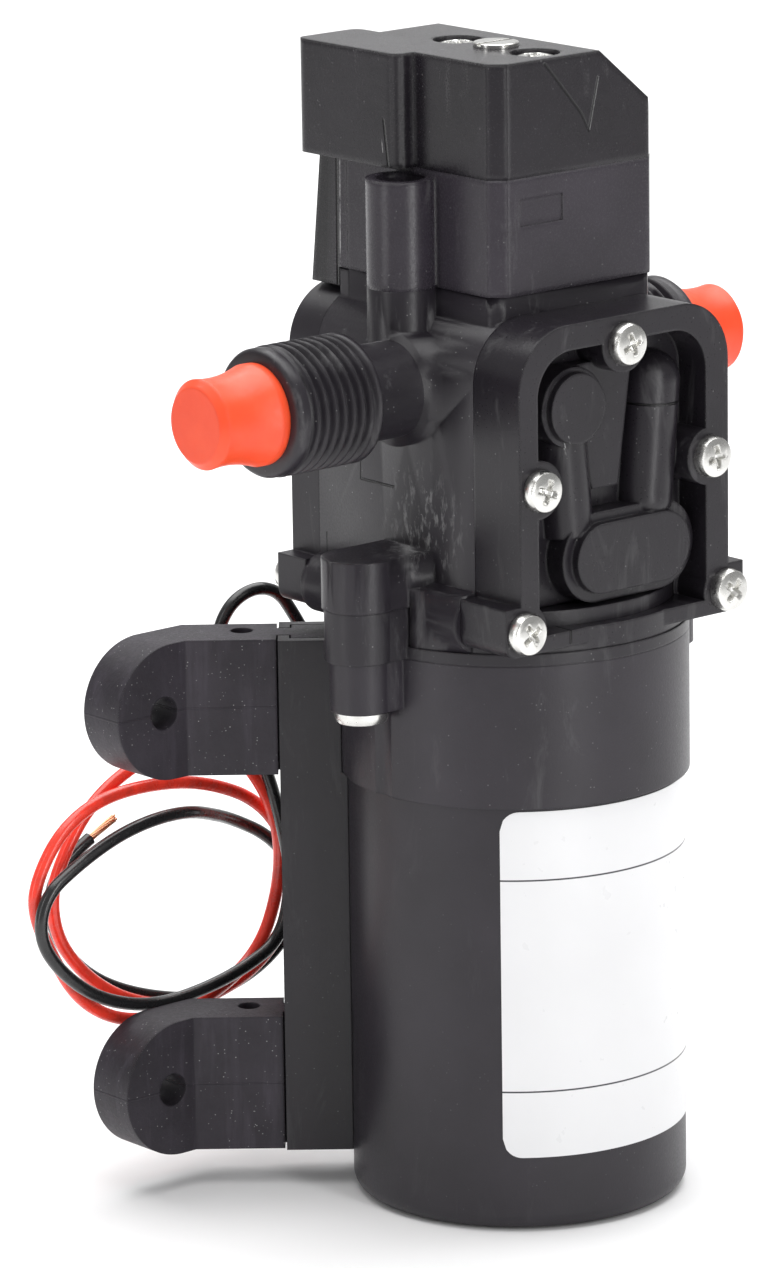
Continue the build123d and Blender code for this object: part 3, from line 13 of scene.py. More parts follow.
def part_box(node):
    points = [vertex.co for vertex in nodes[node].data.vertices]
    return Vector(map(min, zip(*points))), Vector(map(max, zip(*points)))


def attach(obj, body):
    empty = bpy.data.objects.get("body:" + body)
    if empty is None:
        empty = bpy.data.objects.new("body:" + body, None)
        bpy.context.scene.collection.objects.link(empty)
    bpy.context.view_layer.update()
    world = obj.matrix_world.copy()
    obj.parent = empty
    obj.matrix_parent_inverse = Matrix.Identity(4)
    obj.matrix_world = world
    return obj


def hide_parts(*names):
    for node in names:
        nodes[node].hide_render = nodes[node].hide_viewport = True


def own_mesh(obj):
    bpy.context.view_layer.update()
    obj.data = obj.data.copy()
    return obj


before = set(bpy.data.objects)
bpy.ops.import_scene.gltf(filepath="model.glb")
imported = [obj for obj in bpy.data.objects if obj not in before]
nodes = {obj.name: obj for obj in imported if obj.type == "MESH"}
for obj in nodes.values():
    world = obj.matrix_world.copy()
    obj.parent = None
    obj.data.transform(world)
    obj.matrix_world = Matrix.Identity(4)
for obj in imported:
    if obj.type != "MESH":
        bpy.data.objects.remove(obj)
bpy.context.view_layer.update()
scene = bpy.context.scene


def mm(*values):
    """Millimetres as metres: one number, or a vector of several."""
    if len(values) == 1:
        return values[0] / 1000.0
    return Vector(values) / 1000.0


# Camera, solved from the photograph
camera_azimuth = math.radians(-40.4543)
camera_rise = math.radians(13.9585)
camera_roll = math.radians(-0.7992)
camera_place = mm(-729.363, -829.108, 367.827)
focal_px = 7000.0
frame_w, frame_h = 768.0, 1268.0
centre_px = (409.85, 632.23)

back = Vector(
    (
        math.sin(camera_azimuth) * math.cos(camera_rise),
        -math.cos(camera_azimuth) * math.cos(camera_rise),
        math.sin(camera_rise),
    )
)
right = Vector((math.cos(camera_azimuth), math.sin(camera_azimuth), 0))
upward = back.cross(right)
tilted_right = math.cos(camera_roll) * right + math.sin(camera_roll) * upward
tilted_up = math.cos(camera_roll) * upward - math.sin(camera_roll) * right
camera_data = bpy.data.cameras.new("camera")
camera = bpy.data.objects.new("camera", camera_data)
scene.collection.objects.link(camera)
turn = Matrix((tilted_right, tilted_up, back)).transposed().to_4x4()
camera.matrix_world = Matrix.Translation(camera_place) @ turn
camera_data.sensor_width = 36.0
camera_data.lens = focal_px * camera_data.sensor_width / frame_h
camera_data.shift_x = (frame_w / 2 - centre_px[0]) / frame_h
camera_data.shift_y = (centre_px[1] - frame_h / 2) / frame_h
camera_data.clip_start = 0.05
camera_data.clip_end = 50.0
scene.camera = camera


# Material helpers
plastic_gloss = 0.40
rubber_gloss = 0.37
cool_black = (1.03, 0.88, 1.14)


def black(tone):
    """The photograph's faintly violet black at a given tone."""
    return tuple(tone * share for share in cool_black)


class Look:
    """One node material, with short calls for the nodes that the pump needs."""

    def __init__(self, name, color, roughness, metallic=0.0):
        self.material = bpy.data.materials.new(name)
        self.material.use_nodes = True
        self.tree = self.material.node_tree
        self.shader = self.tree.nodes["Principled BSDF"]
        self.put("Base Color", (*color, 1.0))
        self.put("Roughness", roughness)
        self.put("Metallic", metallic)
        self.where = self.new("ShaderNodeTexCoord").outputs["Object"]

    def new(self, kind, **settings):
        node = self.tree.nodes.new(kind)
        for key, value in settings.items():
            setattr(node, key, value)
        return node

    def link(self, source, target):
        self.tree.links.new(source, target)

    def put(self, socket, value):
        self.shader.inputs[socket].default_value = value

    def stretched(self, scale):
        node = self.new("ShaderNodeMapping")
        node.inputs["Scale"].default_value = scale
        self.link(self.where, node.inputs["Vector"])
        return node.outputs["Vector"]

    def noise(self, scale, detail=4.0, rough=0.55, stretch=None, twist=0.0):
        node = self.new("ShaderNodeTexNoise")
        node.inputs["Scale"].default_value = scale
        node.inputs["Detail"].default_value = detail
        node.inputs["Roughness"].default_value = rough
        node.inputs["Distortion"].default_value = twist
        vector = self.where if stretch is None else self.stretched(stretch)
        self.link(vector, node.inputs["Vector"])
        return node.outputs["Fac"]

    def cells(self, scale, feature="F1"):
        node = self.new("ShaderNodeTexVoronoi", feature=feature)
        node.inputs["Scale"].default_value = scale
        self.link(self.where, node.inputs["Vector"])
        return node.outputs["Distance"]

    def ramp(self, value, low, high, out_low=0.0, out_high=1.0):
        node = self.new("ShaderNodeMapRange", clamp=True)
        for key, number in zip(
            ("From Min", "From Max", "To Min", "To Max"), (low, high, out_low, out_high)
        ):
            node.inputs[key].default_value = number
        self.link(value, node.inputs["Value"])
        return node.outputs["Result"]

    def math(self, kind, first, second):
        node = self.new("ShaderNodeMath", operation=kind)
        for k, item in enumerate((first, second)):
            if isinstance(item, (int, float)):
                node.inputs[k].default_value = item
            else:
                self.link(item, node.inputs[k])
        return node.outputs["Value"]

    def blend(self, amount, first, second):
        node = self.new("ShaderNodeMix", data_type="RGBA")
        self.link(amount, node.inputs["Factor"])
        for key, item in (("A", first), ("B", second)):
            socket = [s for s in node.inputs if s.name == key and s.type == "RGBA"][0]
            if isinstance(item, tuple):
                socket.default_value = (*item, 1.0)
            else:
                self.link(item, socket)
        return [s for s in node.outputs if s.type == "RGBA"][0]

    def color(self, value):
        self.link(value, self.shader.inputs["Base Color"])

    def rough(self, value):
        self.link(value, self.shader.inputs["Roughness"])

    def part(self, axis):
        node = self.new("ShaderNodeSeparateXYZ")
        self.link(self.where, node.inputs["Vector"])
        return node.outputs[axis]

    def vector(self, kind, first, second, output="Vector"):
        node = self.new("ShaderNodeVectorMath", operation=kind)
        for k, item in enumerate((first, second)):
            if isinstance(item, (tuple, Vector)):
                node.inputs[k].default_value = item
            elif item is not None:
                self.link(item, node.inputs[k])
        return node.outputs[output]

    def stroke(self, start, end, width, keep=(1, 1, 1)):
        """A mask that is 1 on the line from start to end, in mm, and 0 past its width."""
        ways = Vector(keep)
        first = mm(*start) * ways
        along = mm(*end) * ways - first
        here = self.vector("SUBTRACT", self.vector("MULTIPLY", self.where, ways), first)
        share = self.vector("DOT_PRODUCT", here, along / along.length_squared, "Value")
        share = self.ramp(share, 0.0, 1.0)
        nearest = self.new("ShaderNodeVectorMath", operation="SCALE")
        nearest.inputs[0].default_value = along
        self.link(share, nearest.inputs["Scale"])
        gap = self.vector("DISTANCE", here, nearest.outputs["Vector"], "Value")
        return self.ramp(gap, mm(width * 0.25), mm(width), 1.0, 0.0)

    def strokes(self, lines):
        """The masks of several lines as one."""
        mask = None
        for line in lines:
            one = self.stroke(*line)
            mask = one if mask is None else self.math("MAXIMUM", mask, one)
        return mask

    def surface(self, bumps, edge=0.0):
        """Bump layers as (height, distance in mm), over edges rounded by edge mm."""
        normal = None
        if edge:
            rounded = self.new("ShaderNodeBevel", samples=4)
            rounded.inputs["Radius"].default_value = mm(edge)
            normal = rounded.outputs["Normal"]
        for height, distance in bumps:
            node = self.new("ShaderNodeBump")
            node.inputs["Strength"].default_value = 1.0
            node.inputs["Distance"].default_value = mm(distance)
            self.link(height, node.inputs["Height"])
            if normal is not None:
                self.link(normal, node.inputs["Normal"])
            normal = node.outputs["Normal"]
        self.link(normal, self.shader.inputs["Normal"])


def moulded(
    name, tone, roughness, grain, wave, dust, edge=0.45,
    creases=(), faint=(), scratches_and_highlights=(), scuffed=None,
):
    """Black moulded plastic: satin grain, flow marks, faint scuffs and dust.

    Creases are sunk lines, faint ones shallower, both painted darker as painted shade in them;
    then come pale lines, partly scratches and partly painted highlights along edges; and
    scuffed is the middle and the reach of a place with many small pale nicks, all in mm.
    """
    look = Look(name, black(tone), roughness)
    look.put("IOR", 1.5)
    look.put("Specular IOR Level", plastic_gloss)
    broad = look.noise(38.0, 5.0, 0.6)
    fine = look.noise(2600.0, 3.0, 0.6)
    scuff = look.noise(150.0, 6.0, 0.72, stretch=(1.0, 1.0, 0.22), twist=0.6)
    marks = look.ramp(scuff, 0.57, 0.74)
    specks = look.ramp(look.cells(900.0), 0.13, 0.05)
    chosen = look.ramp(look.noise(420.0, 2.0), 0.5, 0.62)
    dots = look.math("MULTIPLY", specks, chosen)
    haze = look.ramp(broad, 0.35, 0.75, 0.0, 1.0)
    shade = look.blend(haze, black(tone * 0.82), black(tone * 1.36))
    dusty = look.math("MULTIPLY", dots, dust)
    light = look.math("ADD", dusty, look.math("MULTIPLY", marks, dust * 0.28))
    bumps = [(fine, grain), (look.noise(210.0, 3.0), wave), (look.noise(60.0, 2.0), wave * 2.4)]
    # Pale lines: partly scratches, partly painted highlights drawn along lit edges
    if scratches_and_highlights:
        broken = look.ramp(look.noise(700.0, 2.0), 0.35, 0.6)
        scratch_and_highlight_lines = look.math("MULTIPLY", look.strokes(scratches_and_highlights), broken)
        light = look.math("MAXIMUM", light, look.math("MULTIPLY", scratch_and_highlight_lines, 0.75))
        bumps.append((scratch_and_highlight_lines, -0.05))
    if scuffed:
        middle, reach = scuffed
        away = look.vector("DISTANCE", look.where, mm(*middle), "Value")
        near = look.ramp(away, mm(reach * 0.3), mm(reach), 1.0, 0.0)
        nicks = look.ramp(look.noise(760.0, 4.0, 0.7, stretch=(1.0, 1.0, 0.4)), 0.52, 0.66)
        rubbed = look.math("MULTIPLY", nicks, near)
        light = look.math("MAXIMUM", light, look.math("MULTIPLY", rubbed, 0.34))
        bumps.append((rubbed, -0.03))
    # Creases and faint strokes: painted shade, the colour drawn toward black in grooves and on a
    # recess, while the bump sinks them
    for lines, painted_shade, depth in ((creases, 0.9, -0.3), (faint, 0.75, -0.10)):
        if lines:
            sunk = look.strokes(lines)
            share = look.math("MULTIPLY", sunk, painted_shade)
            light = look.math("MULTIPLY", light, look.math("SUBTRACT", 1.0, share))
            shade = look.blend(share, shade, (0.001, 0.001, 0.001))
            bumps.append((sunk, depth))
    look.color(look.blend(light, shade, (0.48, 0.48, 0.48)))
    first = look.ramp(fine, 0.3, 0.7, roughness - 0.05, roughness + 0.07)
    look.rough(look.math("ADD", first, look.math("MULTIPLY", marks, 0.12)))
    look.surface(bumps, edge)
    return look.material


def metal(name, color, roughness, scale, stretch, depth, edge=0.2):
    """Plated or ground metal: brushed streaks, smudges and soft edges."""
    look = Look(name, color, roughness, 1.0)
    streaks = look.noise(scale, 4.0, 0.6, stretch=stretch)
    smudge = look.noise(260.0, 4.0, 0.6)
    dark = tuple(0.72 * c for c in color)
    look.color(look.blend(look.ramp(smudge, 0.42, 0.68, 0.0, 0.6), color, dark))
    look.rough(look.ramp(smudge, 0.3, 0.7, roughness - 0.04, roughness + 0.14))
    look.surface([(streaks, depth)], edge)
    return look.material


def rubber(name, tone, roughness, grain, dust, edge=0.5, seam_heights=()):
    """Soft black rubber with a dry surface, fine pores, pale dust and mould seams."""
    look = Look(name, black(tone), roughness)
    look.put("IOR", 1.46)
    look.put("Specular IOR Level", rubber_gloss)
    broad = look.noise(70.0, 6.0, 0.65)
    fine = look.noise(1900.0, 4.0, 0.65)
    specks = look.ramp(look.cells(1300.0), 0.16, 0.06)
    chosen = look.ramp(look.noise(520.0, 2.0), 0.48, 0.6)
    dots = look.math("MULTIPLY", look.math("MULTIPLY", specks, chosen), dust)
    shade = look.blend(look.ramp(broad, 0.3, 0.75), black(tone * 0.75), black(tone * 1.6))
    bumps = [(fine, grain), (look.noise(320.0, 3.0), grain * 1.5)]
    combed = look.ramp(look.noise(520.0, 3.0, 0.6, stretch=(1.0, 1.0, 0.12)), 0.5, 0.75)
    shade = look.blend(look.math("MULTIPLY", combed, 0.35), shade, black(tone * 3.0))
    if seam_heights:
        height = look.part("Z")
        for middle in seam_heights:
            gap = look.math("ABSOLUTE", look.math("SUBTRACT", height, mm(middle)), 0.0)
            bumps.append((look.ramp(gap, mm(0.08), mm(0.22), 1.0, 0.0), 0.10))
    look.color(look.blend(dots, shade, (0.52, 0.52, 0.51)))
    look.rough(look.ramp(fine, 0.3, 0.7, roughness - 0.06, roughness + 0.08))
    look.surface(bumps, edge)
    return look.material


def insulation(name, color):
    """Glossy lead insulation with faint length-wise waviness and handling marks."""
    look = Look(name, color, 0.24)
    look.put("IOR", 1.5)
    look.put("Coat Weight", 0.25)
    look.put("Coat Roughness", 0.12)
    marks = look.noise(380.0, 4.0, 0.6)
    dark = tuple(0.7 * c for c in color)
    look.color(look.blend(look.ramp(marks, 0.4, 0.7), color, dark))
    look.rough(look.ramp(marks, 0.3, 0.7, 0.18, 0.34))
    look.surface([(look.noise(700.0, 2.0), 0.03)])
    return look.material


# Leads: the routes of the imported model, as smooth curves
grommet_angle = math.radians(106.0)
outward_way = Vector((math.cos(grommet_angle), math.sin(grommet_angle), 0))
across_way = Vector((-math.sin(grommet_angle), math.cos(grommet_angle), 0))
exit_point = 30.0 * outward_way + Vector((0, 0, 84.0))
straight_end = 36.5 * outward_way + Vector((0, 0, 84.0))
red_side = 1.7 * across_way
red_route = [
    tuple(exit_point + red_side), tuple(straight_end + red_side),
    (-15.2, 39.2, 86.6), (-20.6, 39.6, 90.0), (-27.4, 39.6, 89.2), (-31.4, 43.0, 84.2),
    (-29.0, 46.6, 76.8), (-23.2, 46.7, 70.0), (-17.6, 46.7, 64.0),
    (-13.6, 46.7, 57.6), (-11.6, 46.7, 49.6), (-12.6, 47.0, 41.0), (-16.2, 47.0, 33.2),
    (-23.6, 47.0, 28.0), (-34.0, 47.0, 25.0), (-46.0, 47.0, 26.0), (-55.0, 47.0, 31.5),
    (-60.5, 47.0, 40.5), (-64.0, 47.0, 48.5), (-63.0, 47.0, 54.0), (-58.0, 47.0, 61.0),
    (-50.0, 47.0, 65.0), (-39.0, 47.5, 65.5), (-26.5, 48.4, 63.5), (-13.5, 49.4, 57.5),
    (-7.0, 49.5, 47.5), (-6.5, 49.5, 38.0), (-14.0, 49.5, 29.0), (-26.5, 49.5, 25.0),
    (-38.0, 49.5, 26.5), (-49.0, 49.5, 32.0), (-57.0, 49.5, 41.0), (-58.5, 49.5, 50.0),
    (-54.6, 49.5, 57.6), (-50.0, 49.5, 63.2), (-43.2, 49.5, 67.6), (-35.4, 49.5, 70.2),
]
black_route = [
    tuple(exit_point - red_side), tuple(straight_end - red_side),
    (-10.5, 40.3, 86.8), (-12.0, 42.2, 91.2), (-14.8, 42.3, 95.1), (-19.4, 42.4, 96.6),
    (-24.1, 42.8, 95.0), (-26.9, 43.2, 91.0), (-26.9, 43.8, 86.0), (-24.4, 44.2, 79.2),
    (-20.4, 44.3, 71.8), (-16.4, 44.3, 64.4),
    (-14.2, 44.3, 57.6), (-12.4, 44.3, 50.4), (-11.5, 44.3, 43.5), (-14.0, 44.3, 34.5),
    (-22.0, 44.3, 31.0), (-31.5, 44.3, 29.0), (-42.0, 44.3, 28.5), (-53.0, 44.3, 32.0),
    (-61.0, 44.3, 38.5), (-65.0, 44.3, 45.0), (-63.5, 44.3, 51.6), (-57.0, 44.3, 55.5),
    (-48.5, 44.3, 59.0), (-40.5, 44.3, 60.5), (-32.5, 45.5, 60.0), (-25.0, 49.0, 57.5),
    (-17.5, 52.0, 54.5), (-9.5, 52.0, 50.0), (-3.5, 52.0, 42.5), (-4.5, 52.0, 33.5),
    (-13.0, 52.0, 27.0), (-25.5, 52.0, 24.5), (-38.5, 52.0, 28.0), (-48.5, 52.0, 33.0),
    (-55.0, 52.0, 40.0), (-57.2, 52.0, 48.0), (-54.0, 52.0, 54.0), (-48.0, 52.0, 57.0),
]
lead_r = 1.1
strip_len = 6.0


def strands(name, route, material):
    """The bare end of a lead: a twisted bundle of fine wires that opens a little."""
    end = Vector(route[-1])
    way = (end - Vector(route[-2])).normalized()
    first = way.orthogonal().normalized()
    second = way.cross(first)
    data = bpy.data.curves.new(name, "CURVE")
    data.dimensions = "3D"
    data.bevel_depth = mm(0.17)
    data.bevel_resolution = 2
    data.resolution_u = 6
    places = [(0.0, 0.0)] + [(0.24, k * math.tau / 6) for k in range(6)]
    places += [(0.43, (k + 0.5) * math.tau / 9) for k in range(9)]
    for k, (spread, angle) in enumerate(places):
        spline = data.splines.new("NURBS")
        spline.points.add(5)
        reach = strip_len - 0.35 * ((k * 7) % 5) / 2.5
        for step in range(6):
            part = step / 5
            around = angle + 1.5 * part
            open_up = spread * (1.0 + 0.25 * part**2)
            side = open_up * (math.cos(around) * first + math.sin(around) * second)
            point = end + way * (reach * part - 0.6 * (1 - part)) + side
            spline.points[step].co = (*mm(*point), 1.0)
        spline.order_u = 3
        spline.use_endpoint_u = True
    made = bpy.data.objects.new(name, data)
    scene.collection.objects.link(made)
    data.materials.append(material)
    return made


def lead(name, route, material, strand_material):
    """A lead along its route at the lead's width, and its bare strands."""
    data = bpy.data.curves.new(name + "_wire", "CURVE")
    data.dimensions = "3D"
    data.bevel_depth = mm(lead_r)
    data.bevel_resolution = 6
    data.resolution_u = 12
    data.use_fill_caps = True
    spline = data.splines.new("NURBS")
    spline.points.add(len(route) - 1)
    for point, place in zip(spline.points, route):
        point.co = (*mm(*place), 1.0)
    spline.order_u = 3
    spline.use_endpoint_u = True
    made = bpy.data.objects.new(name + "_wire", data)
    scene.collection.objects.link(made)
    data.materials.append(material)
    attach(made, "pump")
    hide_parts(name)
    tip = strands(name + "_strands", route, strand_material)
    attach(tip, "pump")
    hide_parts(name + "_end")
    return made


copper = metal("copper_strands", (0.80, 0.42, 0.25), 0.28, 900.0, (1, 1, 0.3), 0.02, 0.0)
red_skin = insulation("red_insulation", (0.96, 0.056, 0.032))
black_skin = insulation("black_insulation", (0.016, 0.016, 0.017))
lead("red_lead", red_route, red_skin, copper)
lead("black_lead", black_route, black_skin, copper)

# Materials of the nodes that keep their shape
side_face = (0, 1, 1)
front_face = (1, 0, 1)
head_black = moulded(
    "moulded_head", 0.0165, 0.34, 0.020, 0.03, 0.45, 0.6,
    # Sunk panel lines on the side, painted darker as painted shade in them
    creases=[
        ((-22.3, 11.5, 126.9), (-22.3, 11.7, 120.4), 0.22),
        ((-22.3, 11.7, 120.4), (-22.3, 3.5, 120.3), 0.26),
        ((-22.3, 20.4, 110.0), (-22.3, 20.4, 104.0), 0.18),
    ],
    # Pale strokes: the slanted one below the neck is a painted highlight on the web's edge; the one
    # by the rear seam is only a pale line
    scratches_and_highlights=[
        ((-22.3, 24.7, 110.0), (-22.3, 22.2, 109.3), 0.20, side_face),
        ((-22.3, -0.6, 139.0), (-22.3, 2.6, 134.6), 0.22, side_face),
    ],
    scuffed=((-22.3, -3.5, 115.5), 11.0),
)
body_black = moulded("moulded_black", 0.015, 0.36, 0.022, 0.03, 0.36)
front_black = moulded(
    "moulded_front", 0.0135, 0.31, 0.018, 0.03, 0.36, 0.6,
    # Painted shade: the line across the pipe's step and the small notch are painted darker
    creases=[
        ((5.6, 0, 133.7), (15.4, 0, 133.2), 0.26, front_face),
        ((-11.9, 0, 100.4), (-11.9, 0, 98.4), 0.30, front_face),
    ],
    scratches_and_highlights=[((-11.2, 0, 131.5), (-10.2, 0, 127.6), 0.14, front_face)],
)
lid_black = moulded(
    "moulded_lid", 0.013, 0.23, 0.012, 0.035, 0.30, 1.3,
    # Painted shade: the side block's crease and the faint V mould lines are painted darker; the
    # pale stroke beside the crease is a painted highlight
    creases=[((-21.0, 6.3, 179.2), (-21.0, 5.3, 172.0), 0.34)],
    faint=[
        ((-7.0, -16.5, 189.2), (0.5, -16.5, 180.6), 0.34),
        ((0.5, -16.5, 180.6), (2.2, -16.5, 177.6), 0.34),
        ((2.2, -16.5, 177.6), (4.2, -16.5, 185.8), 0.30),
    ],
    scratches_and_highlights=[((-21.0, 6.9, 176.4), (-21.0, 6.6, 174.0), 0.12)],
)
housing_black = moulded(
    "moulded_housing", 0.029, 0.25, 0.014, 0.03, 0.46, 1.2,
    # Painted light at the rear edge: the crease is painted shade in the step to the gusset, the
    # wide faint stroke is painted shade on the recessed gusset, and the pale stroke is a painted
    # highlight along the edge
    creases=[((-17.3, 22.4, 171.4), (-17.3, 22.6, 150.0), 0.40)],
    faint=[((-17.3, 25.6, 170.0), (-17.3, 26.6, 151.0), 4.4)],
    scratches_and_highlights=[((-17.3, 21.7, 170.6), (-17.3, 22.0, 152.0), 0.20)],
)
collar_black = moulded("moulded_collar", 0.021, 0.38, 0.030, 0.02, 0.24)
can_black = moulded("powder_coat", 0.019, 0.38, 0.020, 0.016, 0.10, 0.3)
bracket_black = moulded("bracket_coat", 0.012, 0.35, 0.020, 0.02, 0.16, 0.3)
foot_black = rubber("foot_rubber", 0.024, 0.50, 0.05, 0.55, seam_heights=(17.35, 81.35))
seal_black = rubber("seal_rubber", 0.022, 0.55, 0.03, 0.1)
zinc = metal("bright_zinc", (0.72, 0.715, 0.69), 0.20, 1200.0, (1, 1, 1), 0.012)
steel = metal("ground_steel", (0.55, 0.55, 0.56), 0.26, 1500.0, (1, 1, 0.1), 0.01)
bare_copper = metal("bare_copper", (0.72, 0.36, 0.20), 0.3, 1500.0, (1, 1, 0.2), 0.02)
brass = metal("bare_brass", (0.75, 0.58, 0.26), 0.28, 1500.0, (1, 1, 0.2), 0.01)
ferrite = moulded("ferrite", 0.05, 0.5, 0.05, 0.03, 0.2)
white_plastic = Look("white_plastic", (0.82, 0.82, 0.78), 0.4)
shade_fac = white_plastic.noise(90.0, 4.0)
white_plastic.color(white_plastic.blend(shade_fac, (0.86, 0.86, 0.82), (0.76, 0.76, 0.71)))
white_plastic.rough(white_plastic.ramp(shade_fac, 0.3, 0.7, 0.35, 0.48))
white_plastic.surface([(white_plastic.noise(1800.0, 3.0), 0.01)], 0.2)

plug_look = Look("orange_red_plug", (0.90, 0.080, 0.022), 0.42)
plug_look.put("Subsurface Weight", 0.18)
plug_look.put("Subsurface Radius", (0.004, 0.0016, 0.0008))
plug_look.put("Subsurface Scale", 0.6)
plug_shade = plug_look.noise(120.0, 4.0, 0.6)
plug_patches = plug_look.ramp(plug_shade, 0.35, 0.7)
plug_look.color(plug_look.blend(plug_patches, (0.92, 0.086, 0.024), (0.86, 0.066, 0.016)))
plug_look.rough(plug_look.ramp(plug_look.noise(900.0, 3.0), 0.3, 0.7, 0.34, 0.46))
plug_look.surface([(plug_look.noise(260.0, 3.0), 0.05)], 0.7)
plug_red = plug_look.material

wear = {
    body_black: ["rear_cover", "drive_housing", "brush_holder", "microswitch_case"],
    front_black: ["front_cover"],
    lid_black: ["switch_cover"],
    housing_black: ["switch_housing"],
    collar_black: ["motor_collar"],
    can_black: ["motor_can"],
    bracket_black: ["mounting_bracket"],
    foot_black: ["foot_upper_left", "foot_upper_right", "foot_lower_left", "foot_lower_right"],
    seal_black: ["front_diaphragm", "rear_diaphragm", "switch_diaphragm", "inlet_valves",
                 "outlet_valves", "port_seals", "lead_grommet"],
    zinc: ["motor_screws", "piston_screws", "housing_screws", "adjusting_screw", "motor_end_plate"],
    steel: ["rotor_shaft", "rotor_core", "rear_bearing", "front_bearing", "drive_bearing",
            "eccentric", "eccentric_bearing", "piston_discs", "pressure_spring"],
    bare_copper: ["rotor_windings", "commutator"],
    brass: ["microswitch_blades"],
    ferrite: ["motor_magnets", "brushes"],
    white_plastic.material: ["piston_yoke", "front_valve_plate", "rear_valve_plate",
                             "switch_plunger", "microswitch_button"],
    plug_red: ["inlet_plug", "outlet_plug"],
}
for material, names in wear.items():
    for name in names:
        slots = nodes[name].data.materials
        slots.clear()
        slots.append(material)


def object_from(name, mesh, material, body, replaced=()):
    """An object for a mesh, with its material, its body and the nodes it stands for."""
    made = bpy.data.objects.new(name, mesh)
    scene.collection.objects.link(made)
    mesh.materials.clear()
    mesh.materials.append(material)
    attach(made, body)
    if replaced:
        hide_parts(*replaced)
    return made


def smooth(mesh, degrees=35.0):
    """Smooth shading with edges sharper than the angle kept hard."""
    mesh.shade_smooth()
    mesh.set_sharp_from_angle(angle=math.radians(degrees))


# Pump head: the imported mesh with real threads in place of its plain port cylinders
port_z = 137.4
thread_r = 10.48
thread_pitch = 1.814
thread_depth = 1.16
runout_r = 10.2
runout_end = 26.4
ring_r = 10.28
neck_r = 7.8
bore_r = 7.9
inlet = (-1, 36.0, 50.4, 53.0)
outlet = (1, 23.0, 30.4, 33.0)


def thread_radius(x, angle, start, end):
    """The male thread's radius at a place along a port that runs from start to end."""
    phase = (x / thread_pitch + angle / math.tau) % 1.0
    flank = abs(phase - 0.5) * 2
    shape = min(1.0, max(0.0, (flank - 0.14) / 0.72))
    begin = min(1.0, max(0.0, (x - start - 0.5) / 1.2))
    stop = min(1.0, max(0.0, (end - x) / 0.8))
    return thread_r - 0.02 - thread_depth * shape * begin * stop


def add_port(bm, side, start, end, face):
    """One port's outside, from the neck's shoulder to the bore's mouth."""
    around = 112
    rings = [(start, neck_r)]
    x = start
    while x < end:
        rings.append((x, None))
        x += thread_pitch / 10
    rings += [(end, 10.0), (end + 0.25, ring_r), (face - 0.8, ring_r)]
    rings += [(face - 0.3, 9.98), (face, 9.5), (face, bore_r)]
    made = []
    for place, radius in rings:
        loop = []
        for k in range(around):
            angle = math.tau * k / around
            r = radius
            if radius is None:
                beside_column = side > 0 and 0.4 < angle < 2.0
                first = runout_end if beside_column else start
                r = runout_r + 0.03
                if place >= first:
                    r = thread_radius(place, angle, first, end)
            across, high = r * math.cos(angle), port_z + r * math.sin(angle)
            loop.append(bm.verts.new(mm(side * place, across, high)))
        made.append(loop)
    for first, second in zip(made, made[1:]):
        for k in range(around):
            after = (k + 1) % around
            corners = [first[k], first[after], second[after], second[k]]
            if side > 0:
                corners.reverse()
            bm.faces.new(corners)


head_mesh = nodes["pump_head"].data.copy()
bm = bmesh.new()
bm.from_mesh(head_mesh)
bmesh.ops.remove_doubles(bm, verts=bm.verts, dist=1e-6)
for side, start, end, face_x in (inlet, outlet):
    plain = []
    for face in bm.faces:
        if all(side * v.co.x > mm(start - 0.02) for v in face.verts):
            spread = [math.hypot(v.co.y, v.co.z - mm(port_z)) for v in face.verts]
            if min(spread) > mm(neck_r - 0.1) and mm(8.2) < max(spread) < mm(thread_r + 0.1):
                plain.append(face)
    bmesh.ops.delete(bm, geom=plain, context="FACES")
    add_port(bm, side, start, end, face_x)
bmesh.ops.remove_doubles(bm, verts=bm.verts, dist=1e-6)
low, high = mm(-17.25, 19.7, 144.5), mm(-11.0, 22.4, 152.86)
step = bmesh.ops.create_cube(bm, size=1.0)["verts"]
for corner_vert in step:
    share = corner_vert.co + Vector((0.5, 0.5, 0.5))
    corner_vert.co = low + (high - low) * share
step_edges = [edge for edge in bm.edges if all(vert in step for vert in edge.verts)]
bmesh.ops.bevel(bm, geom=step_edges, offset=mm(0.3), segments=2, affect="EDGES")
bm.to_mesh(head_mesh)
bm.free()
smooth(head_mesh)
made_head = object_from(
    "moulded_head", head_mesh, head_black, "pump", ["pump_head"]
)
evened = made_head.modifiers.new("evened", "WEIGHTED_NORMAL")
evened.keep_sharp = True


# Screws with domed heads and cross recesses
def cross_depth(x, y):
    """How deep a cross recess is at a place on the head, in millimetres."""
    deepest = 0.0
    for a, b in ((x, y), (y, x)):
        wide = min(1.0, max(0.0, (0.52 - abs(a)) / 0.16))
        long = min(1.0, max(0.0, (2.05 - abs(b)) / 0.5))
        deepest = max(deepest, wide * long * (1.25 - 0.32 * abs(b)))
    return deepest


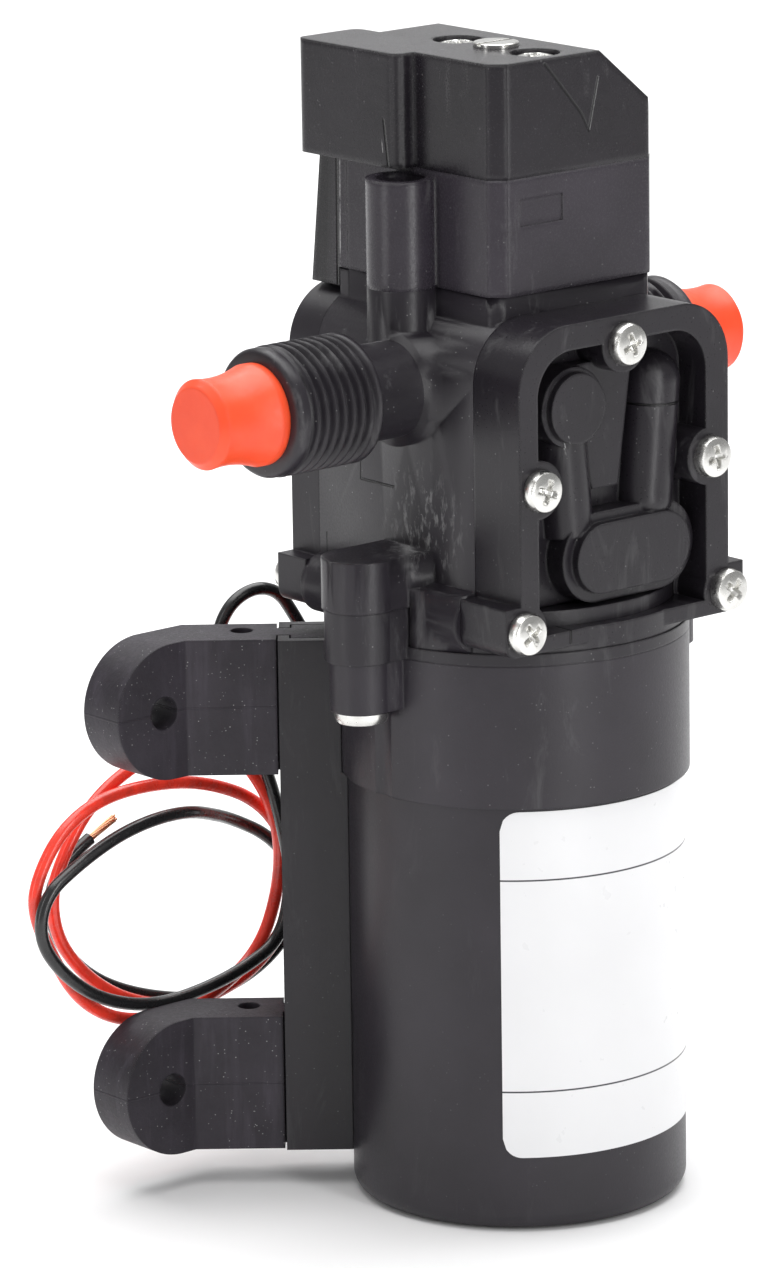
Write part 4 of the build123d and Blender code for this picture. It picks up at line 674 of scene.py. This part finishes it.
def add_screw(bm, place, way, turn_angle, head, height, shank, length):
    """One screw: its seat at place, its head toward way, its shank the other way."""
    aimed = Vector(way).to_track_quat("Z", "Y").to_matrix()
    to_world = aimed @ Matrix.Rotation(turn_angle, 3, "Z")
    around = 64
    profile = [(head * 0.9 * k / 20, None) for k in range(1, 21)]
    profile += [(head * 0.955, 0.62), (head * 0.99, 0.42), (head, 0.25), (head, 0.03)]
    profile += [(head * 0.98, 0.0), (shank, 0.0), (shank, -length / height)]
    profile += [(shank * 0.4, -(length + 0.3) / height)]
    loops = []
    for radius, level in profile:
        loop = []
        for k in range(around):
            angle = math.tau * k / around
            x, y = radius * math.cos(angle), radius * math.sin(angle)
            if level is None:
                z = height * (1.0 - 0.26 * (radius / head) ** 2.6)
                z -= cross_depth(x, y) * head / 3.5
            else:
                z = height * level
            point = to_world @ Vector((x, y, z)) + Vector(place)
            loop.append(bm.verts.new(mm(*point)))
        loops.append(loop)
    top = height - cross_depth(0, 0) * head / 3.5
    centre = bm.verts.new(mm(*(to_world @ Vector((0, 0, top)) + Vector(place))))
    for k in range(around):
        bm.faces.new((centre, loops[0][k], loops[0][(k + 1) % around]))
    for first, second in zip(loops, loops[1:]):
        for k in range(around):
            after = (k + 1) % around
            bm.faces.new((first[k], second[k], second[after], first[after]))
    bm.faces.new(list(reversed(loops[-1])))


def screws(name, replaced, places, way, head, height, shank, length, turns):
    """A group of screws in one object that stands for a node."""
    bm = bmesh.new()
    for place, turn_angle in zip(places, turns):
        add_screw(bm, place, way, math.radians(turn_angle), head, height, shank, length)
    mesh = bpy.data.meshes.new(name)
    bmesh.ops.recalc_face_normals(bm, faces=bm.faces)
    bm.to_mesh(mesh)
    bm.free()
    smooth(mesh, 40)
    return object_from(name, mesh, zinc, "pump", [replaced])


cover_holes = [(0, 145.0), (-18.2, 124.0), (-21.7, 101.5), (18.2, 124.0), (21.7, 101.5)]
screws(
    "front_pan_screws", "front_cover_screws", [(x, -27.0, z) for x, z in cover_holes],
    (0, -1, 0), 3.5, 2.2, 1.5, 15.4, (20, 70, 35, 10, 50),
)
screws(
    "rear_pan_screws", "rear_cover_screws", [(x, 29.2, z) for x, z in cover_holes],
    (0, 1, 0), 3.5, 2.2, 1.5, 11.4, (40, 15, 65, 30, 80),
)
screws(
    "cap_pan_screws", "cap_screws", [(-4.0, -1.5 - 9.3, 187.6), (-4.0, -1.5 + 9.3, 187.6)],
    (0, 0, 1), 3.5, 2.2, 1.45, 23.9, (25, 60),
)
screws(
    "bracket_pan_screws", "bracket_screws", [(0, 29.75, 22.0), (0, 29.75, 58.0)],
    (0, 1, 0), 3.5, 2.2, 1.5, 5.4, (10, 55),
)
screws(
    "long_pan_screws", "long_screws", [(-32.8, 0, 86.2), (32.8, 0, 86.2)],
    (0, 0, -1), 4.4, 2.4, 1.9, 21.9, (30, 75),
)

# Diaphragms: each one's middle moves with the yoke and its clamped rim stays
split_r = 8.6
split_gap = 0.03
fold_at = 10.25
fold_r = 1.3
membrane_t = 1.2
membrane_hole_r = 1.45


def lathe(name, profile, seat, way, height, body, replaced=()):
    """A ring turned about the pump's y axis from (radius, rise) points, in mm."""
    around = 72
    bm = bmesh.new()
    loops = []
    for radius, rise in profile:
        loop = []
        for k in range(around):
            angle = math.tau * k / around
            across, high = radius * math.cos(angle), height + radius * math.sin(angle)
            loop.append(bm.verts.new(mm(across, seat + way * rise, high)))
        loops.append(loop)
    for first, second in zip(loops, loops[1:] + loops[:1]):
        for k in range(around):
            after = (k + 1) % around
            bm.faces.new((first[k], first[after], second[after], second[k]))
    bmesh.ops.recalc_face_normals(bm, faces=bm.faces)
    mesh = bpy.data.meshes.new(name)
    bm.to_mesh(mesh)
    bm.free()
    smooth(mesh)
    return object_from(name, mesh, seal_black, body, replaced)


def bow(radius, rise, steps=10):
    """Points of the rolled fold's half circle, from its inner to its outer side."""
    turns = [math.pi * (1 - k / steps) for k in range(steps + 1)]
    return [(fold_at + radius * math.cos(a), rise + radius * math.sin(a)) for a in turns]


for node, way in (("front_diaphragm", -1), ("rear_diaphragm", 1)):
    low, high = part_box(node)
    seat = (high.y if way < 0 else low.y) * 1000
    height = (low.z + high.z) * 500
    rim_r = (high.x - low.x) * 500
    edge_r = split_r - split_gap
    middle_profile = [(membrane_hole_r, 0.0), (edge_r, 0.0)]
    middle_profile += [(edge_r, membrane_t), (membrane_hole_r, membrane_t)]
    lathe(node + "_middle", middle_profile, seat, way, height, "yoke")
    rim_profile = [(split_r, 0.0)] + bow(fold_r / 2, 0.0) + [(rim_r, 0.0), (rim_r, membrane_t)]
    rim_profile += list(reversed(bow(fold_r, membrane_t))) + [(split_r, membrane_t)]
    lathe(node + "_rim", rim_profile, seat, way, height, "pump", [node])

# Pressure spring: the imported spring as its own copy on the pump
low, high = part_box("pressure_spring")
spring_mesh = nodes["pressure_spring"].data.copy()
spring_mesh.transform(nodes["pressure_spring"].matrix_world)
spring = object_from(
    "short_spring", spring_mesh, steel, "pump", ["pressure_spring"]
)
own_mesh(spring)

# Adjusting screw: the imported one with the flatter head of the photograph
packed_screw = nodes["adjusting_screw"]
screw_mesh = packed_screw.data.copy()
screw_mesh.transform(packed_screw.matrix_world)
lid_top = mm(190.0)
head_share = 0.45
for vert in screw_mesh.vertices:
    if vert.co.z > lid_top:
        vert.co.z = lid_top + head_share * (vert.co.z - lid_top)
object_from(
    "flat_adjusting_screw", screw_mesh, zinc, "adjuster", ["adjusting_screw"]
)

# Label: a bare white wrap with rounded corners and its two rule lines
label_look = Look("white_label", (0.76, 0.76, 0.77), 0.34)
label_look.put("Coat Weight", 0.2)
label_look.put("Coat Roughness", 0.15)
height_z = label_look.part("Z")
lines = None
for rule in (23.6, 59.0):
    gap = label_look.math("ABSOLUTE", label_look.math("SUBTRACT", height_z, mm(rule)), 0.0)
    line = label_look.ramp(gap, mm(0.11), mm(0.17), 1.0, 0.0)
    lines = line if lines is None else label_look.math("MAXIMUM", lines, line)
paper = label_look.blend(
    label_look.ramp(label_look.noise(45.0, 3.0), 0.3, 0.7),
    (0.77, 0.77, 0.78), (0.74, 0.74, 0.75)
)
label_look.color(label_look.blend(lines, paper, (0.03, 0.03, 0.035)))
label_look.rough(label_look.ramp(label_look.noise(300.0, 3.0), 0.3, 0.7, 0.27, 0.38))
label_look.surface([(label_look.noise(500.0, 2.0), 0.008)])

bm = bmesh.new()
label_low, label_high = 12.5, 70.4
label_from, label_to = math.radians(-137.0), math.radians(-14.0)
corner = 3.2
can_r = 27.5
label_r = 27.63
columns = 110
arc = (label_to - label_from) * label_r
bands = []
for k in range(columns + 1):
    along = arc * k / columns
    inset = min(along, arc - along)
    cut = 0.0
    if inset < corner:
        cut = corner - math.sqrt(max(0.0, corner**2 - (corner - inset) ** 2))
    angle = label_from + along / label_r
    low_z, high_z = label_low + cut, label_high - cut
    band = []
    for radius, z in ((can_r, low_z), (label_r, low_z), (label_r, high_z), (can_r, high_z)):
        band.append(bm.verts.new(mm(radius * math.cos(angle), radius * math.sin(angle), z)))
    bands.append(band)
for first, second in zip(bands, bands[1:]):
    for k in range(3):
        bm.faces.new((first[k], second[k], second[k + 1], first[k + 1]))
bm.faces.new(bands[0])
bm.faces.new(list(reversed(bands[-1])))
label_mesh = bpy.data.meshes.new("bare_label")
bmesh.ops.recalc_face_normals(bm, faces=bm.faces)
bm.to_mesh(label_mesh)
bm.free()
smooth(label_mesh)
object_from("bare_label", label_mesh, label_look.material, "pump", ["rating_label"])

# Floor and backdrop
floor_look = Look("pale_floor", (0.92, 0.92, 0.92), 0.75)
floor_shade = floor_look.noise(6.0, 2.0)
floor_look.color(floor_look.blend(floor_shade, (0.93, 0.93, 0.93), (0.90, 0.90, 0.905)))
floor_mesh = bpy.data.meshes.new("floor")
floor_gap = 0.0002
bm = bmesh.new()
profile = [(-6.0, 0.0), (1.2, 0.0), (1.6, 0.03), (2.0, 0.18), (2.4, 0.5), (2.6, 1.0), (2.7, 4.0)]
way_back = Vector((-back.x, -back.y, 0)).normalized()
side_way = Vector((way_back.y, -way_back.x, 0))
rows = []
for far, high in profile:
    lift = Vector((0, 0, high - floor_gap))
    rows.append([bm.verts.new(way_back * far + side_way * s + lift) for s in (-6, 6)])
for first, second in zip(rows, rows[1:]):
    bm.faces.new((first[0], first[1], second[1], second[0]))
bm.to_mesh(floor_mesh)
bm.free()
floor_mesh.shade_smooth()
floor = bpy.data.objects.new("floor", floor_mesh)
scene.collection.objects.link(floor)
floor_mesh.materials.append(floor_look.material)

# Light: a pale room, two tall low strips that draw the upright edges, and a broad top
scene.view_settings.view_transform = "Standard"
world = bpy.data.worlds.new("room")
scene.world = world
world.use_nodes = True
world.node_tree.nodes["Background"].inputs["Color"].default_value = (1.0, 1.0, 1.0, 1.0)
world.node_tree.nodes["Background"].inputs["Strength"].default_value = 0.36


def softbox(name, place, aim, width, height, watts):
    """A rectangular area light at place that faces aim."""
    data = bpy.data.lights.new(name, "AREA")
    data.shape = "RECTANGLE"
    data.size = width
    data.size_y = height
    data.energy = watts
    made = bpy.data.objects.new(name, data)
    made.location = place
    made.rotation_euler = (Vector(aim) - Vector(place)).to_track_quat("-Z", "Y").to_euler()
    made.visible_camera = False
    scene.collection.objects.link(made)


middle = Vector((0, 0, 0.1))
toward = Vector((back.x, back.y, 0)).normalized()
strip_height = 0.27
strip_aim = (0, 0, strip_height)
softbox("left_strip", (-0.47, 0.04, strip_height), strip_aim, 0.07, 0.52, 0.40)
softbox("right_strip", (-0.04, -0.47, strip_height), strip_aim, 0.07, 0.52, 0.95)
softbox("top", middle + Vector((0, 0, 1.2)) - toward * 0.5, middle - toward * 0.5, 1.8, 1.8, 36)
